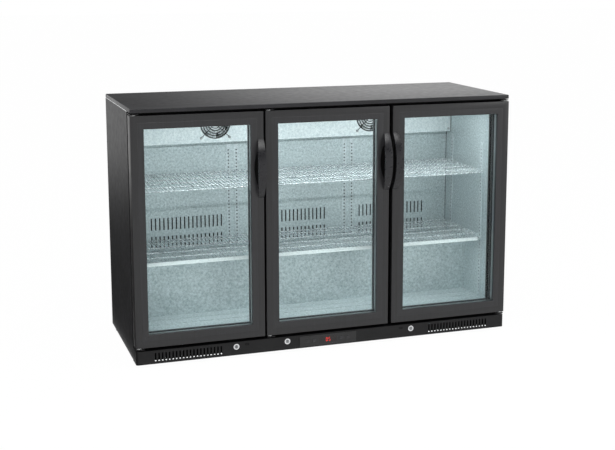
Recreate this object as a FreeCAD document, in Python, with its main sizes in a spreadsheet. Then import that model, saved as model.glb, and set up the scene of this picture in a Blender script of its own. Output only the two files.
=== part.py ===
"""Three-door back-bar cooler, built as separate pieces in a parametric FreeCAD document.

Frame: millimetres, +X to the right of a person facing the doors, -Y to the front, +Z up.
The origin is on the floor, under the middle of the whole outline, handles included.
"""
import FreeCAD, Part
import Sketcher
import math
import os
import re

from FreeCAD import Vector

# ---------------------------------------------------------------- driving sizes
SIZES = [
    ("cabinet_width", 1350.0), ("cabinet_depth", 500.0), ("cabinet_height", 865.0),
    ("foot_clearance", 12.0), ("sheet_thickness", 1.0), ("flange_width", 30.0),
    ("top_thickness", 14.5), ("top_edge_radius", 2.0), ("top_gap", 8.5),
    ("kick_height", 46.0), ("kick_gap", 11.0), ("kick_skin", 1.5), ("kick_corner", 8.0),
    ("left_gap", 7.5), ("right_gap", 13.5),
    # doors
    ("door_thickness", 44.0), ("stile_width", 44.0), ("rail_height", 44.0), ("door_edge_radius", 4.0),
    ("glass_recess", 9.0), ("pane_thickness", 4.0), ("pane_space", 12.0), ("glass_bite", 9.0),
    ("glass_clearance", 0.5), ("spacer_width", 8.0),
    ("gasket_depth", 15.7), ("gasket_width", 14.0), ("gasket_inset", 15.0), ("gasket_gap", 0.3),
    ("pivot_side", 13.0), ("pivot_front", 12.0), ("pin_radius", 4.0), ("pin_reach", 14.0),
    ("running_clearance", 0.05), ("bracket_thickness", 3.0), ("bracket_width", 28.0),
    ("bracket_flange", 12.0), ("bracket_rise", 22.0),
    # handles
    ("handle_height", 188.0), ("handle_width", 23.5), ("handle_belly", 4.5), ("handle_reach", 36.0),
    ("handle_thickness", 8.0), ("handle_drop", 97.0), ("scoop_height", 159.0), ("scoop_width", 32.0),
    # insulated cabinet
    ("wall_thickness", 40.0), ("rear_wall", 45.0), ("ceiling_drop", 45.0), ("floor_thickness", 40.0),
    ("liner_thickness", 0.8), ("frame_depth", 12.0), ("mullion_width", 56.0), ("mullion_depth", 30.0),
    ("hump_reach", 250.0), ("hump_height", 194.0), ("hump_wall", 38.0),
    ("rib_width", 6.0), ("rib_height", 1.5), ("rib_pitch", 50.0),
    # air duct and fans
    ("duct_depth", 22.0), ("cover_height", 134.0), ("cover_depth", 40.0), ("panel_thickness", 1.0),
    ("vent_width", 5.0), ("vent_height", 45.0), ("vent_pitch", 15.35), ("vent_count", 18.0),
    ("vent_low_rise", 6.0), ("vent_high_rise", 74.0), ("vent_spread", 403.0),
    ("fan_spread", 300.0), ("fan_rise", 70.0), ("fan_size", 120.0), ("fan_depth", 30.0),
    ("fan_bore", 56.0), ("fan_tip_gap", 2.5), ("fan_hub", 24.0), ("fan_shaft", 3.0),
    ("guard_wire", 2.2), ("fan_screw_pitch", 105.0),
    ("coil_width", 440.0), ("coil_depth", 36.0), ("coil_height", 90.0), ("coil_fin_pitch", 11.0),
    ("tray_wall", 1.5), ("drip_height", 12.0), ("drain_radius", 6.0),
    ("tray_gap", 50.0), ("suction_shift", 176.0), ("liquid_shift", 22.0),
    # shelves
    ("lower_shelf_rise", 236.0), ("upper_shelf_rise", 479.0), ("shelf_rear_gap", 5.0),
    ("shelf_setback", 40.0), ("shelf_side_gap", 4.0), ("shelf_wire", 3.0), ("shelf_rod", 5.0),
    ("wire_pitch", 13.7), ("rod_pitch", 71.0), ("strip_height", 12.5), ("strip_thickness", 1.6),
    ("standard_width", 16.0), ("standard_thickness", 2.0), ("standard_offset", 15.0),
    ("standard_hole", 5.0), ("standard_pitch", 12.7), ("side_standard_setback", 24.0),
    ("side_standard_spacing", 253.0), ("standard_floor_gap", 12.0),
    ("standard_roof_gap", 8.0), ("standard_hump_gap", 4.0), ("clip_width", 10.0), ("clip_reach", 20.0), ("clip_height", 9.0),
    ("lamp_width", 1120.0), ("lamp_depth", 18.0), ("lamp_height", 14.0),
    # kick panel, locks and controller
    ("louvre_width", 5.0), ("louvre_height", 28.0), ("louvre_pitch", 11.8), ("louvre_count", 20.0),
    ("louvre_left_inset", 62.0), ("louvre_right_inset", 70.0),
    ("lock_rise", 30.0), ("lock_flange", 10.0), ("lock_barrel", 9.0), ("lock_plug", 6.5),
    ("lock_length", 22.0), ("lock_rim", 2.0), ("lock_nut", 4.0), ("plug_proud", 0.5),
    ("key_slot_width", 1.2), ("key_slot_height", 8.0), ("key_slot_depth", 7.0), ("cam_reach", 38.0), ("cam_width", 12.0), ("cam_thickness", 3.0), ("cam_room", 4.0),
    ("lock_left_inset", 102.0), ("lock_centre_inset", 71.5), ("lock_right_inset", 75.0),
    ("controller_width", 208.0), ("controller_height", 38.0), ("controller_depth", 40.0),
    ("controller_shift", 5.0), ("bezel_thickness", 2.0), ("display_width", 64.0),
    ("display_height", 24.0), ("key_width", 13.0), ("key_height", 10.0), ("key_travel", 1.0),
    ("key_inner", 50.0), ("key_outer", 74.0), ("key_clearance", 0.4),
    # machine compartment
    ("compressor_radius", 68.0), ("compressor_height", 150.0), ("compressor_inset", 255.0),
    ("condenser_inset", 345.0), ("condenser_width", 50.0), ("condenser_depth", 170.0),
    ("condenser_height", 200.0), ("condenser_fin_pitch", 8.5), ("shroud_depth", 26.0),
    ("blower_bore", 80.0), ("blower_hub", 26.0), ("blower_shaft", 4.0), ("motor_length", 46.0),
    ("tray_width", 160.0), ("tray_depth", 150.0), ("tray_height", 40.0),
    ("pipe_radius", 4.0), ("pipe_gap", 0.5), ("drier_radius", 11.0), ("drier_length", 70.0),
    ("box_width", 70.0), ("box_height", 80.0), ("box_depth", 46.0), ("box_inset", 90.0),
    ("gland_radius", 9.0), ("gland_length", 14.0), ("cable_radius", 4.0),
    ("grille_slot", 7.0), ("grille_pitch", 20.0), ("grille_slot_height", 150.0),
    # feet and screws
    ("foot_radius", 19.0), ("foot_pad", 7.0), ("foot_stem", 5.0), ("foot_inset", 24.0),
    ("foot_front", 90.0), ("foot_back", 50.0), ("screw_head", 4.0), ("screw_head_height", 2.0),
    ("screw_shank", 1.8), ("screw_length", 8.0), ("screw_inset", 11.0),
]

# ---------------------------------------------------------------- places worked out from the sizes
PLACES = [
    ("half_width", "cabinet_width / 2"),
    ("front_y", "(handle_reach - cabinet_depth) / 2"),
    ("back_y", "(handle_reach + cabinet_depth) / 2"),
    ("kick_top", "foot_clearance + kick_height"),
    ("door_bottom", "foot_clearance + kick_height + kick_gap"),
    ("top_underside", "cabinet_height - top_thickness"),
    ("door_top", "top_underside - top_gap"),
    ("door_height", "door_top - door_bottom"),
    ("door_width", "(cabinet_width - left_gap - right_gap) / 3"),
    ("face_y", "front_y + door_thickness + gasket_depth + gasket_gap"),
    ("left_door_x", "-half_width"),
    ("centre_door_x", "-half_width + door_width + left_gap"),
    ("right_door_x", "half_width - door_width"),
    ("left_mullion_x", "centre_door_x - left_gap / 2"),
    ("right_mullion_x", "right_door_x - right_gap / 2"),
    ("pivot_y", "front_y + pivot_front"),
    ("glass_y", "front_y + glass_recess"),
    ("glass_depth", "2 * pane_thickness + pane_space"),
    ("channel_depth", "glass_bite + glass_clearance"),
    ("opening_width", "door_width - 2 * stile_width"),
    ("opening_height", "door_height - 2 * rail_height"),
    ("liner_x", "half_width - wall_thickness"),
    ("liner_back", "back_y - rear_wall"),
    ("liner_top", "cabinet_height - ceiling_drop"),
    ("liner_front", "face_y + frame_depth"),
    ("floor_z", "kick_top + floor_thickness"),
    ("hump_y", "back_y - hump_reach"),
    ("hump_top", "floor_z + hump_height"),
    ("bay_roof", "hump_top - hump_wall"),
    ("bay_front", "hump_y + hump_wall"),
    ("duct_y", "liner_back - duct_depth"),
    ("cover_y", "duct_y - cover_depth"),
    ("cover_bottom", "liner_top - cover_height"),
    ("fan_z", "cover_bottom + fan_rise"),
    ("fan_y", "cover_y + panel_thickness"),
    ("duct_line_y", "duct_y + panel_thickness + (duct_depth - panel_thickness) / 2"),
    ("shelf_y", "face_y + shelf_setback"),
    ("shelf_depth", "duct_y - shelf_rear_gap - shelf_y"),
    ("base_top", "foot_clearance + 2 * sheet_thickness"),
    ("controller_x", "-controller_shift"),
    ("controller_z", "foot_clearance + kick_height / 2"),
    ("lock_z", "foot_clearance + lock_rise"),
    ("cam_y", "front_y + lock_length"),
    ("bay_mid_y", "(bay_front + back_y) / 2"),
    ("bay_mid_z", "base_top + condenser_height / 2"),
    ("skin_back", "back_y - sheet_thickness"),
    ("compressor_x", "compressor_inset - half_width"),
    ("condenser_x", "half_width - condenser_inset"),
    ("drain_x", "condenser_x - tray_gap - tray_width / 2"),
    ("gland_x", "liner_x - box_inset / 2"),
    ("gland_z", "base_top + (bay_roof - base_top) / 2"),
]

DOORS = [("left", "left_door_x", 1), ("centre", "centre_door_x", 1), ("right", "right_door_x", -1)]

doc = FreeCAD.newDocument("back_bar_cooler")
NODES = []
KNOWN = {}
WORD = re.compile(r"[a-z][a-z_]+")


def linked(text):
    """Return an expression in which every named size points at its sheet."""
    return WORD.sub(lambda found: KNOWN.get(found.group(0), "") + found.group(0), str(text))


def fill_sheet(name, rows, formula):
    """Write one sheet of named cells, plain numbers or formulas of earlier cells."""
    sheet = doc.addObject("Spreadsheet::Sheet", name)
    for row, (alias, content) in enumerate(rows, start=1):
        sheet.set("A%d" % row, alias)
        sheet.set("B%d" % row, "=" + linked(content) if formula else str(content))
        sheet.setAlias("B%d" % row, alias)
        KNOWN[alias] = name + "."
    doc.recompute()
    return sheet


sizes = fill_sheet("Sizes", SIZES, False)
places = fill_sheet("Places", PLACES, True)


def value(alias):
    """Return the number that a named cell holds."""
    sheet = sizes if KNOWN[alias] == "Sizes." else places
    return float(sheet.get(alias))


def node(name, item):
    """Mark a document object as one piece of the cooler, written to a file of its own."""
    item.Label = name
    NODES.append(item)
    return item


# ---------------------------------------------------------------- primitives and booleans
def bind(item, name, text):
    """Bind one property to an expression of named sizes."""
    item.setExpression(name, linked(text))


def place(item, corner):
    """Bind the position of an object to three expressions."""
    for axis, text in zip("xyz", corner):
        bind(item, "Placement.Base." + axis, text)
    return item


def box(name, corner, lengths):
    """Add a box from its low corner and its three lengths."""
    item = doc.addObject("Part::Box", name)
    for side, text in zip(("Length", "Width", "Height"), lengths):
        bind(item, side, text)
    return place(item, corner)


def span(name, low, high):
    """Add a box from its low and high corners."""
    return box(name, low, ["(%s) - (%s)" % (top, bottom) for bottom, top in zip(low, high)])


TURNS = {
    "x": FreeCAD.Rotation(Vector(0, 1, 0), 90),
    "y": FreeCAD.Rotation(Vector(1, 0, 0), -90),
    "z": FreeCAD.Rotation(),
}


def cylinder(name, base, radius, length, axis="z"):
    """Add a cylinder from the centre of its low end, along an axis of the frame."""
    item = doc.addObject("Part::Cylinder", name)
    item.Placement = FreeCAD.Placement(Vector(), TURNS[axis])
    bind(item, "Radius", radius)
    bind(item, "Height", length)
    return place(item, base)


def compound(name, items):
    """Group separate solids without joining them."""
    item = doc.addObject("Part::Compound", name)
    item.Links = items
    return item


def cut(name, base, tools):
    """Cut one or more tools out of a solid."""
    item = doc.addObject("Part::Cut", name)
    item.Base = base
    item.Tool = tools[0] if len(tools) == 1 else compound(name + "_tools", tools)
    return item


def fuse(name, items):
    """Join solids into one."""
    item = doc.addObject("Part::MultiFuse", name)
    item.Shapes = items
    item.Refine = True
    return item


def round_edges(name, base, wanted, radius):
    """Round the straight edges of a solid that the test picks, by a named radius."""
    doc.recompute()
    item = doc.addObject("Part::Fillet", name)
    item.Base = base
    picked = [number for number, edge in enumerate(base.Shape.Edges, start=1) if wanted(edge)]
    item.Edges = [(number, value(radius), value(radius)) for number in picked]
    return item


def shape(name, solid):
    """Hold a solid that was worked out in code from the sheet's sizes."""
    item = doc.addObject("Part::Feature", name)
    where = solid.Placement
    item.Shape = solid
    item.Placement = where
    return item


def runs_along(edge, axis):
    """Tell whether an edge is straight and lies along one axis."""
    ends = [vertex.Point for vertex in edge.Vertexes]
    if len(ends) < 2:
        return False
    run = ends[1] - ends[0]
    return all(abs(getattr(run, other)) < 1e-6 for other in "xyz".replace(axis, ""))


def lies_at(edge, axis, place_mm):
    """Tell whether the middle of an edge is at one coordinate."""
    return abs(getattr(edge.CenterOfMass, axis) - place_mm) < 1e-4


# ---------------------------------------------------------------- sketched bodies
def origin_plane(body, role):
    """Return one of a body's own origin planes."""
    return next(item for item in body.Origin.OriginFeatures if item.Role == role)


def sketch_on(body, name, role, offset):
    """Add an empty sketch on an origin plane, with a bound offset."""
    sketch = body.newObject("Sketcher::SketchObject", name)
    sketch.AttachmentSupport = [(origin_plane(body, role), "")]
    sketch.MapMode = "FlatFace"
    for axis, text in zip("xyz", offset):
        bind(sketch, "AttachmentOffset.Base." + axis, text)
    return sketch


def constrain(sketch, label, text, *place_args):
    """Add one named dimension and bind it."""
    index = sketch.addConstraint(Sketcher.Constraint(*place_args, 10.0))
    sketch.renameConstraint(index, label)
    bind(sketch, "Constraints." + label, text)


def add_rectangle(sketch, label, corner, lengths):
    """Draw a rectangle whose corner and sides are bound to sizes, all measured from the origin."""
    first = sketch.GeometryCount
    points = [Vector(1, 1, 0), Vector(5, 1, 0), Vector(5, 4, 0), Vector(1, 4, 0)]
    for start, end in zip(points, points[1:] + points[:1]):
        sketch.addGeometry(Part.LineSegment(start, end))
    for side in range(4):
        follower = first + (side + 1) % 4
        sketch.addConstraint(Sketcher.Constraint("Coincident", first + side, 2, follower, 1))
        flat = "Horizontal" if side % 2 == 0 else "Vertical"
        sketch.addConstraint(Sketcher.Constraint(flat, first + side))
    constrain(sketch, label + "_left", corner[0], "DistanceX", -1, 1, first, 1)
    constrain(sketch, label + "_low", corner[1], "DistanceY", -1, 1, first, 1)
    constrain(sketch, label + "_wide", lengths[0], "DistanceX", first, 1, first, 2)
    constrain(sketch, label + "_tall", lengths[1], "DistanceY", first + 1, 1, first + 1, 2)


def add_circle(sketch, label, centre, radius):
    """Draw a circle whose centre and radius are bound to sizes."""
    number = sketch.addGeometry(Part.Circle(Vector(20, 20, 0), Vector(0, 0, 1), 5))
    constrain(sketch, label + "_left", centre[0], "DistanceX", -1, 1, number, 3)
    constrain(sketch, label + "_low", centre[1], "DistanceY", -1, 1, number, 3)
    index = sketch.addConstraint(Sketcher.Constraint("Radius", number, 5.0))
    sketch.renameConstraint(index, label + "_radius")
    bind(sketch, "Constraints." + label + "_radius", radius)


def new_body(name):
    """Add a part design body."""
    return doc.addObject("PartDesign::Body", name)


def pad(body, name, sketch, length, backwards=False):
    """Pad a sketch by a bound length."""
    item = body.newObject("PartDesign::Pad", name)
    item.Profile = sketch
    item.Reversed = backwards
    bind(item, "Length", length)
    sketch.Visibility = False
    return item


def pocket_through(body, name, sketch):
    """Cut a sketch right through the body, both ways from its plane."""
    item = body.newObject("PartDesign::Pocket", name)
    item.Profile = sketch
    item.Type = "ThroughAll"
    item.Midplane = True
    return item


def repeat(body, name, feature, sketch, axis, count, pitch):
    """Repeat a feature in a row with a bound count and pitch."""
    doc.recompute()
    item = body.newObject("PartDesign::LinearPattern", name)
    item.Originals = [feature]
    item.Direction = (sketch, [axis])
    bind(item, "Length", "(%s - 1) * (%s)" % (count, pitch))
    bind(item, "Occurrences", count)
    body.Tip = item
    return item


# ---------------------------------------------------------------- outer skin
def build_skin():
    """Folded side panels, back, base pan and the top with its skirt."""
    for side, name in ((-1, "side_panel_left"), (1, "side_panel_right")):
        outer_x = "half_width * %d" % side
        low_x = outer_x if side < 0 else outer_x + " - flange_width"
        inner_x = outer_x + " + sheet_thickness" if side < 0 else low_x + " - sheet_thickness"
        whole = box(name + "_blank", (low_x, "face_y", "base_top"),
                    ("flange_width", "back_y - face_y", "top_underside - base_top"))
        hollow = box(name + "_hollow", (inner_x, "face_y + sheet_thickness", "0"),
                     ("flange_width", "skin_back - face_y - sheet_thickness", "cabinet_height"))
        node(name, cut(name, whole, [hollow]))

    edge_x = "half_width - flange_width"
    node("back_panel", span("back_panel", ("-(%s)" % edge_x, "skin_back", "bay_roof"),
                            (edge_x, "back_y", "top_underside")))

    inner_x = "half_width - kick_skin"
    pan = span("base_blank", ("-(%s)" % inner_x, "front_y + kick_skin", "foot_clearance"),
               (inner_x, "skin_back", "base_top"))
    holes = [cylinder("foot_hole", (x, y, "0"), "foot_stem + pipe_gap", "cabinet_height")
             for x, y in foot_places()]
    notch = "kick_skin + kick_corner"
    corners = [span("base_corner", (low, "front_y", "0"), (high, "front_y + " + notch, "cabinet_height"))
               for low, high in (("-half_width", "-half_width + " + notch),
                                 ("half_width - (%s)" % notch, "half_width"))]
    node("base_pan", cut("base_pan", pan, holes + corners))

    blank = span("top_blank", ("-half_width", "front_y", "top_underside"),
                 ("half_width", "back_y", "cabinet_height"))
    rounded = round_edges("top_rounded", blank, lambda edge: lies_at(edge, "z", value("cabinet_height")),
                          "top_edge_radius")
    inside = span("top_inside",
                  ("-half_width + kick_skin", "front_y + kick_skin", "top_underside - 1"),
                  ("half_width - kick_skin", "back_y - kick_skin", "cabinet_height - kick_skin"))
    filler = span("top_core",
                  ("-half_width + kick_skin", "face_y", "top_underside"),
                  ("half_width - kick_skin", "back_y - kick_skin", "cabinet_height - kick_skin"))
    node("top_panel", cut("top_panel", rounded, [cut("top_hollow", inside, [filler])]))


def foot_places():
    """Return the four places of the levelling feet."""
    side = "half_width - foot_inset"
    return [(sign + "(%s)" % side, y) for sign in ("-", "") for y in ("front_y + foot_front",
                                                                      "back_y - foot_back")]


def build_feet():
    """Screw-in levelling feet: a pad, a lock nut and a stem up through the base pan."""
    feet = []
    for x, y in foot_places():
        foot_pad = cylinder("foot_pad_disc", (x, y, "0"), "foot_radius", "foot_pad")
        nut = cylinder("foot_nut", (x, y, "foot_pad"), "foot_stem * 1.8", "foot_clearance - foot_pad")
        stem = cylinder("foot_stem_rod", (x, y, "foot_pad"), "foot_stem", "foot_clearance + foot_pad")
        feet.append(fuse("foot", [foot_pad, nut, stem]))
    node("levelling_feet", compound("levelling_feet", feet))


# ---------------------------------------------------------------- insulated body
def build_front_frame():
    """Steel-faced bars round the three door openings, with two mullions between them."""
    edge = "half_width - sheet_thickness"
    face = "face_y + sheet_thickness"
    bars = [
        span("post_left", ("-(%s)" % edge, face, "kick_top"), ("-liner_x", "liner_front", "top_underside")),
        span("post_right", ("liner_x", face, "kick_top"), (edge, "liner_front", "top_underside")),
        span("rail_top", ("-liner_x", "face_y", "liner_top"), ("liner_x", "liner_front", "top_underside")),
        span("rail_bottom", ("-liner_x", "face_y", "kick_top"), ("liner_x", "liner_front", "floor_z")),
    ]
    for name in ("left", "right"):
        middle = name + "_mullion_x"
        bars.append(span("mullion_" + name, (middle + " - mullion_width / 2", "face_y", "floor_z"),
                         (middle + " + mullion_width / 2", "face_y + mullion_depth", "liner_top")))
    node("front_frame", compound("front_frame", bars))


def duct_holes(name, low, high):
    """Return cutters for the drain and the two refrigerant lines between two heights."""
    holes = []
    for label, x, radius in pipe_places():
        holes.append(cylinder(name + label, (x, "duct_line_y", low), radius + " + pipe_gap",
                              "(%s) - (%s)" % (high, low)))
    return holes


def pipe_places():
    """Return where the vertical lines run inside the duct."""
    return [("_drain", "drain_x", "drain_radius"), ("_suction", "-suction_shift", "pipe_radius"),
            ("_liquid", "-liquid_shift", "pipe_radius")]


def build_insulation():
    """Foam blocks between the skin and the liner."""
    edge = "half_width - sheet_thickness"
    side_x = "liner_x + liner_thickness"
    blocks = [
        span("foam_left", ("-(%s)" % edge, "liner_front", "kick_top"),
             ("-(%s)" % side_x, "skin_back", "top_underside")),
        span("foam_right", (side_x, "liner_front", "kick_top"), (edge, "skin_back", "top_underside")),
        span("foam_top", ("-(%s)" % side_x, "liner_front", "liner_top + liner_thickness"),
             (side_x, "skin_back", "top_underside")),
        span("foam_rear", ("-(%s)" % side_x, "liner_back + liner_thickness", "bay_roof"),
             (side_x, "skin_back", "liner_top + liner_thickness")),
        span("foam_floor", ("-(%s)" % side_x, "liner_front", "kick_top"),
             (side_x, "hump_y + liner_thickness", "floor_z - liner_thickness")),
        span("foam_hump_foot", ("-(%s)" % side_x, "hump_y + liner_thickness", "kick_top"),
             (side_x, "bay_front", "floor_z - liner_thickness")),
        span("foam_hump_front", ("-liner_x", "hump_y + liner_thickness", "floor_z - liner_thickness"),
             ("liner_x", "bay_front", "hump_top - liner_thickness")),
    ]
    lid = span("foam_hump_blank", ("-liner_x", "bay_front", "bay_roof"),
               ("liner_x", "liner_back + liner_thickness", "hump_top - liner_thickness"))
    blocks.append(cut("foam_hump_top", lid, duct_holes("foam_hole", "foot_clearance", "cabinet_height")))
    node("insulation", compound("insulation", blocks))


def build_liner():
    """One-piece food-grade liner, stepped over the machine compartment, with floor ribs."""
    skin = "liner_thickness"
    plates = [
        span("liner_left", ("-liner_x - " + skin, "liner_front", "floor_z - " + skin),
             ("-liner_x", "liner_back + " + skin, "liner_top + " + skin)),
        span("liner_right", ("liner_x", "liner_front", "floor_z - " + skin),
             ("liner_x + " + skin, "liner_back + " + skin, "liner_top + " + skin)),
        span("liner_ceiling", ("-liner_x - " + skin, "liner_front", "liner_top"),
             ("liner_x + " + skin, "liner_back + " + skin, "liner_top + " + skin)),
        span("liner_rear", ("-liner_x - " + skin, "liner_back", "hump_top - " + skin),
             ("liner_x + " + skin, "liner_back + " + skin, "liner_top + " + skin)),
        span("liner_floor", ("-liner_x - " + skin, "liner_front", "floor_z - " + skin),
             ("liner_x + " + skin, "hump_y + " + skin, "floor_z")),
        span("liner_hump_front", ("-liner_x - " + skin, "hump_y", "floor_z - " + skin),
             ("liner_x + " + skin, "hump_y + " + skin, "hump_top")),
        span("liner_hump_top", ("-liner_x - " + skin, "hump_y", "hump_top - " + skin),
             ("liner_x + " + skin, "liner_back + " + skin, "hump_top")),
    ]
    for number in (1, 2):
        rib_y = "hump_y - rib_pitch * %d" % number
        plates.append(span("liner_rib", ("-liner_x", rib_y + " - rib_width / 2", "floor_z"),
                           ("liner_x", rib_y + " + rib_width / 2", "floor_z + rib_height")))
    whole = fuse("liner_whole", plates)
    holes = duct_holes("liner_hole", "bay_roof", "cover_bottom")
    node("inner_liner", cut("inner_liner", whole, holes))


# ---------------------------------------------------------------- air duct, evaporator and fans
def screw_places():
    """Return where panel screws stand, with the face that each one's head rests on."""
    side = "liner_x - screw_inset"
    rows = []
    for sign in ("-", ""):
        rows.append((sign + "(%s)" % side, "cover_y", "cover_bottom + screw_inset"))
        rows.append((sign + "(%s)" % side, "cover_y", "liner_top - screw_inset * 2"))
        rows.append((sign + "(%s)" % side, "duct_y", "cover_bottom - screw_inset * 2.5"))
        rows.append((sign + "(%s)" % side, "duct_y", "hump_top + screw_inset"))
    return rows


def build_duct_panel():
    """Rear air panel with two rows of slots in each bay."""
    body = new_body("rear_duct_panel")
    outline = sketch_on(body, "duct_outline", "XZ_Plane", ("-liner_x", "hump_top", "-duct_y"))
    add_rectangle(outline, "sheet", ("0", "0"), ("2 * liner_x", "cover_bottom - hump_top"))
    pad(body, "duct_sheet", outline, "panel_thickness", True)
    slots = sketch_on(body, "duct_slots", "XZ_Plane", ("-liner_x", "hump_top", "-duct_y"))
    start = "liner_x - (vent_count - 1) * vent_pitch / 2 - vent_width / 2"
    for column, shift in enumerate(("-vent_spread", "0", "vent_spread")):
        for row, rise in enumerate(("vent_low_rise", "vent_high_rise")):
            add_rectangle(slots, "slot_%s%s" % ("abc"[column], "lh"[row]),
                          (start + " + (%s)" % shift, rise), ("vent_width", "vent_height"))
    first = pocket_through(body, "duct_first_slots", slots)
    repeat(body, "duct_slot_rows", first, slots, "H_Axis", "vent_count", "vent_pitch")
    shanks = sketch_on(body, "duct_screw_holes", "XZ_Plane", ("-liner_x", "0", "-duct_y"))
    for number, (x, y, z) in enumerate(place for place in screw_places() if place[1] == "duct_y"):
        add_circle(shanks, "hole_" + "abcd"[number], ("liner_x + (%s)" % x, z), "screw_shank")
    pocket_through(body, "duct_holes", shanks)
    node("rear_duct_panel", body)


def build_evaporator_cover():
    """Sheet cover across the top of the back, open behind, with two fan openings."""
    outer = span("cover_blank", ("-liner_x", "cover_y", "cover_bottom"), ("liner_x", "duct_y", "liner_top"))
    inner = span("cover_inside",
                 ("-liner_x + panel_thickness", "cover_y + panel_thickness", "cover_bottom + panel_thickness"),
                 ("liner_x - panel_thickness", "back_y", "cabinet_height"))
    tools = [inner]
    for side in ("-fan_spread", "fan_spread"):
        tools.append(cylinder("cover_hole", (side, "cover_y - 1", "fan_z"), "fan_bore + 2", "cover_depth / 2",
                              "y"))
        for x, z in fan_screw_places(side):
            tools.append(cylinder("cover_screw_hole", (x, "cover_y - 1", z), "screw_shank", "cover_depth / 2",
                                  "y"))
    for x, y, z in screw_places():
        if y == "cover_y":
            tools.append(cylinder("cover_edge_hole", (x, "cover_y - 1", z), "screw_shank",
                                  "cover_depth / 2", "y"))
    node("evaporator_cover", cut("evaporator_cover", outer, tools))


def fan_screw_places(side):
    """Return the four screw places of the fan at one side."""
    return [("%s + (%s) * fan_screw_pitch / 2" % (side, i), "fan_z + (%s) * fan_screw_pitch / 2" % j)
            for i in (-1, 1) for j in (-1, 1)]


def build_fan_guards():
    """Concentric wire guards in front of the two evaporator fans."""
    guards = []
    for side in ("-fan_spread", "fan_spread"):
        pieces = []
        for ring in range(1, 6):
            radius = "fan_bore * %d / 5" % ring
            start = (side, "cover_y - guard_wire", "fan_z")
            rim = cylinder("guard_rim", start, radius, "guard_wire", "y")
            gap = cylinder("guard_gap", start, radius + " - guard_wire", "guard_wire", "y")
            pieces.append(cut("guard_ring", rim, [gap]))
        pieces.append(cylinder("guard_hub", (side, "cover_y - guard_wire", "fan_z"),
                               "fan_bore / 5 - guard_wire / 2", "guard_wire", "y"))
        for number in range(4):
            arm = doc.addObject("Part::Box", "guard_arm")
            arm.Placement = FreeCAD.Placement(Vector(), FreeCAD.Rotation(Vector(0, 1, 0), 45 + 90 * number))
            bind(arm, "Length", "fan_screw_pitch / sqrt(2)")
            bind(arm, "Width", "guard_wire")
            bind(arm, "Height", "guard_wire")
            pieces.append(place(arm, (side, "cover_y - guard_wire", "fan_z")))
        for x, z in fan_screw_places(side):
            pieces.append(cylinder("guard_eye", (x, "cover_y - guard_wire", z), "screw_head", "guard_wire",
                                   "y"))
        whole = fuse("guard_whole", pieces)
        holes = [cylinder("guard_hole", (x, "cover_y - cover_depth / 2", z), "screw_shank", "cover_depth", "y")
                 for x, z in fan_screw_places(side)]
        guards.append(cut("guard", whole, holes))
    node("evaporator_fan_guards", compound("evaporator_fan_guards", guards))


def build_fan_frames():
    """Square fan housings behind the cover, each with a motor disc on struts and a shaft."""
    frames = []
    for side in ("-fan_spread", "fan_spread"):
        half = "fan_size / 2"
        block = box("fan_block", (side + " - " + half, "fan_y", "fan_z - " + half),
                    ("fan_size", "fan_depth", "fan_size"))
        bore = cylinder("fan_hole", (side, "fan_y - 1", "fan_z"), "fan_bore", "fan_depth + 2", "y")
        mounts = [cylinder("fan_mount_hole", (x, "fan_y - 1", z), "screw_shank", "fan_depth + 2", "y")
                  for x, z in fan_screw_places(side)]
        ring = cut("fan_ring", block, [bore] + mounts)
        back = "fan_y + fan_depth - panel_thickness * 3"
        motor = cylinder("fan_motor", (side, back, "fan_z"), "fan_hub", "panel_thickness * 3", "y")
        shaft = cylinder("fan_axle", (side, "fan_y + fan_depth / 3", "fan_z"), "fan_shaft",
                         "fan_depth * 2 / 3", "y")
        struts = [span("fan_strut_flat", (side + " - " + half, back, "fan_z - 2"),
                       (side + " + " + half, "fan_y + fan_depth", "fan_z + 2")),
                  span("fan_strut_tall", (side + " - 2", back, "fan_z - " + half),
                       (side + " + 2", "fan_y + fan_depth", "fan_z + " + half))]
        frames.append(fuse("fan_frame", [ring, motor, shaft] + struts))
    node("evaporator_fan_frames", compound("evaporator_fan_frames", frames))


def bladed_wheel(hub, tip, shaft, length, blades, chord, pitch_angle):
    """Return a fan wheel about the local Z axis, from z = 0 to its length, with a bore."""
    wheel = Part.makeCylinder(hub, length)
    middle = length / 2
    for number in range(blades):
        blade = Part.makeBox(tip - hub * 0.8, chord, 1.6, Vector(hub * 0.8, -chord / 2, -0.8))
        blade.rotate(Vector(), Vector(1, 0, 0), pitch_angle)
        blade.translate(Vector(0, 0, middle))
        blade.rotate(Vector(), Vector(0, 0, 1), number * 360.0 / blades)
        wheel = wheel.fuse(blade)
    limit = Part.makeCylinder(tip, length)
    bore = Part.makeCylinder(shaft, length)
    return wheel.common(limit).cut(bore).removeSplitter()


def build_fan_rotors():
    """Bladed wheels of the two evaporator fans, running on the frame's shafts."""
    front = value("fan_y") + value("panel_thickness") * 2
    length = value("fan_depth") - value("panel_thickness") * 7
    for name, side in (("left", -1), ("right", 1)):
        wheel = bladed_wheel(value("fan_hub"), value("fan_bore") - value("fan_tip_gap"),
                             value("fan_shaft") + value("running_clearance"), length, 7,
                             value("fan_bore") * 0.55, 32.0)
        wheel.rotate(Vector(), Vector(1, 0, 0), -90)
        wheel.translate(Vector(side * value("fan_spread"), front, value("fan_z")))
        node("evaporator_fan_rotor_" + name, shape("evaporator_fan_rotor_" + name, wheel))


def finned_block(width, depth, height, pitch, tube, tube_rows):
    """Return a finned coil: plates across X, joined by tubes along X, with its low corner at zero."""
    plates = max(3, int(round(width / pitch)))
    step = (width - 1.0) / (plates - 1)
    pieces = [Part.makeBox(1.0, depth, height, Vector(step * i, 0, 0)) for i in range(plates)]
    for row in range(tube_rows):
        for y in (depth * 0.27, depth * 0.73):
            z = height * (row + 0.5) / tube_rows
            pieces.append(Part.makeCylinder(tube, width, Vector(0, y, z), Vector(1, 0, 0)))
    return pieces[0].multiFuse(pieces[1:]).removeSplitter()


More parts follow.
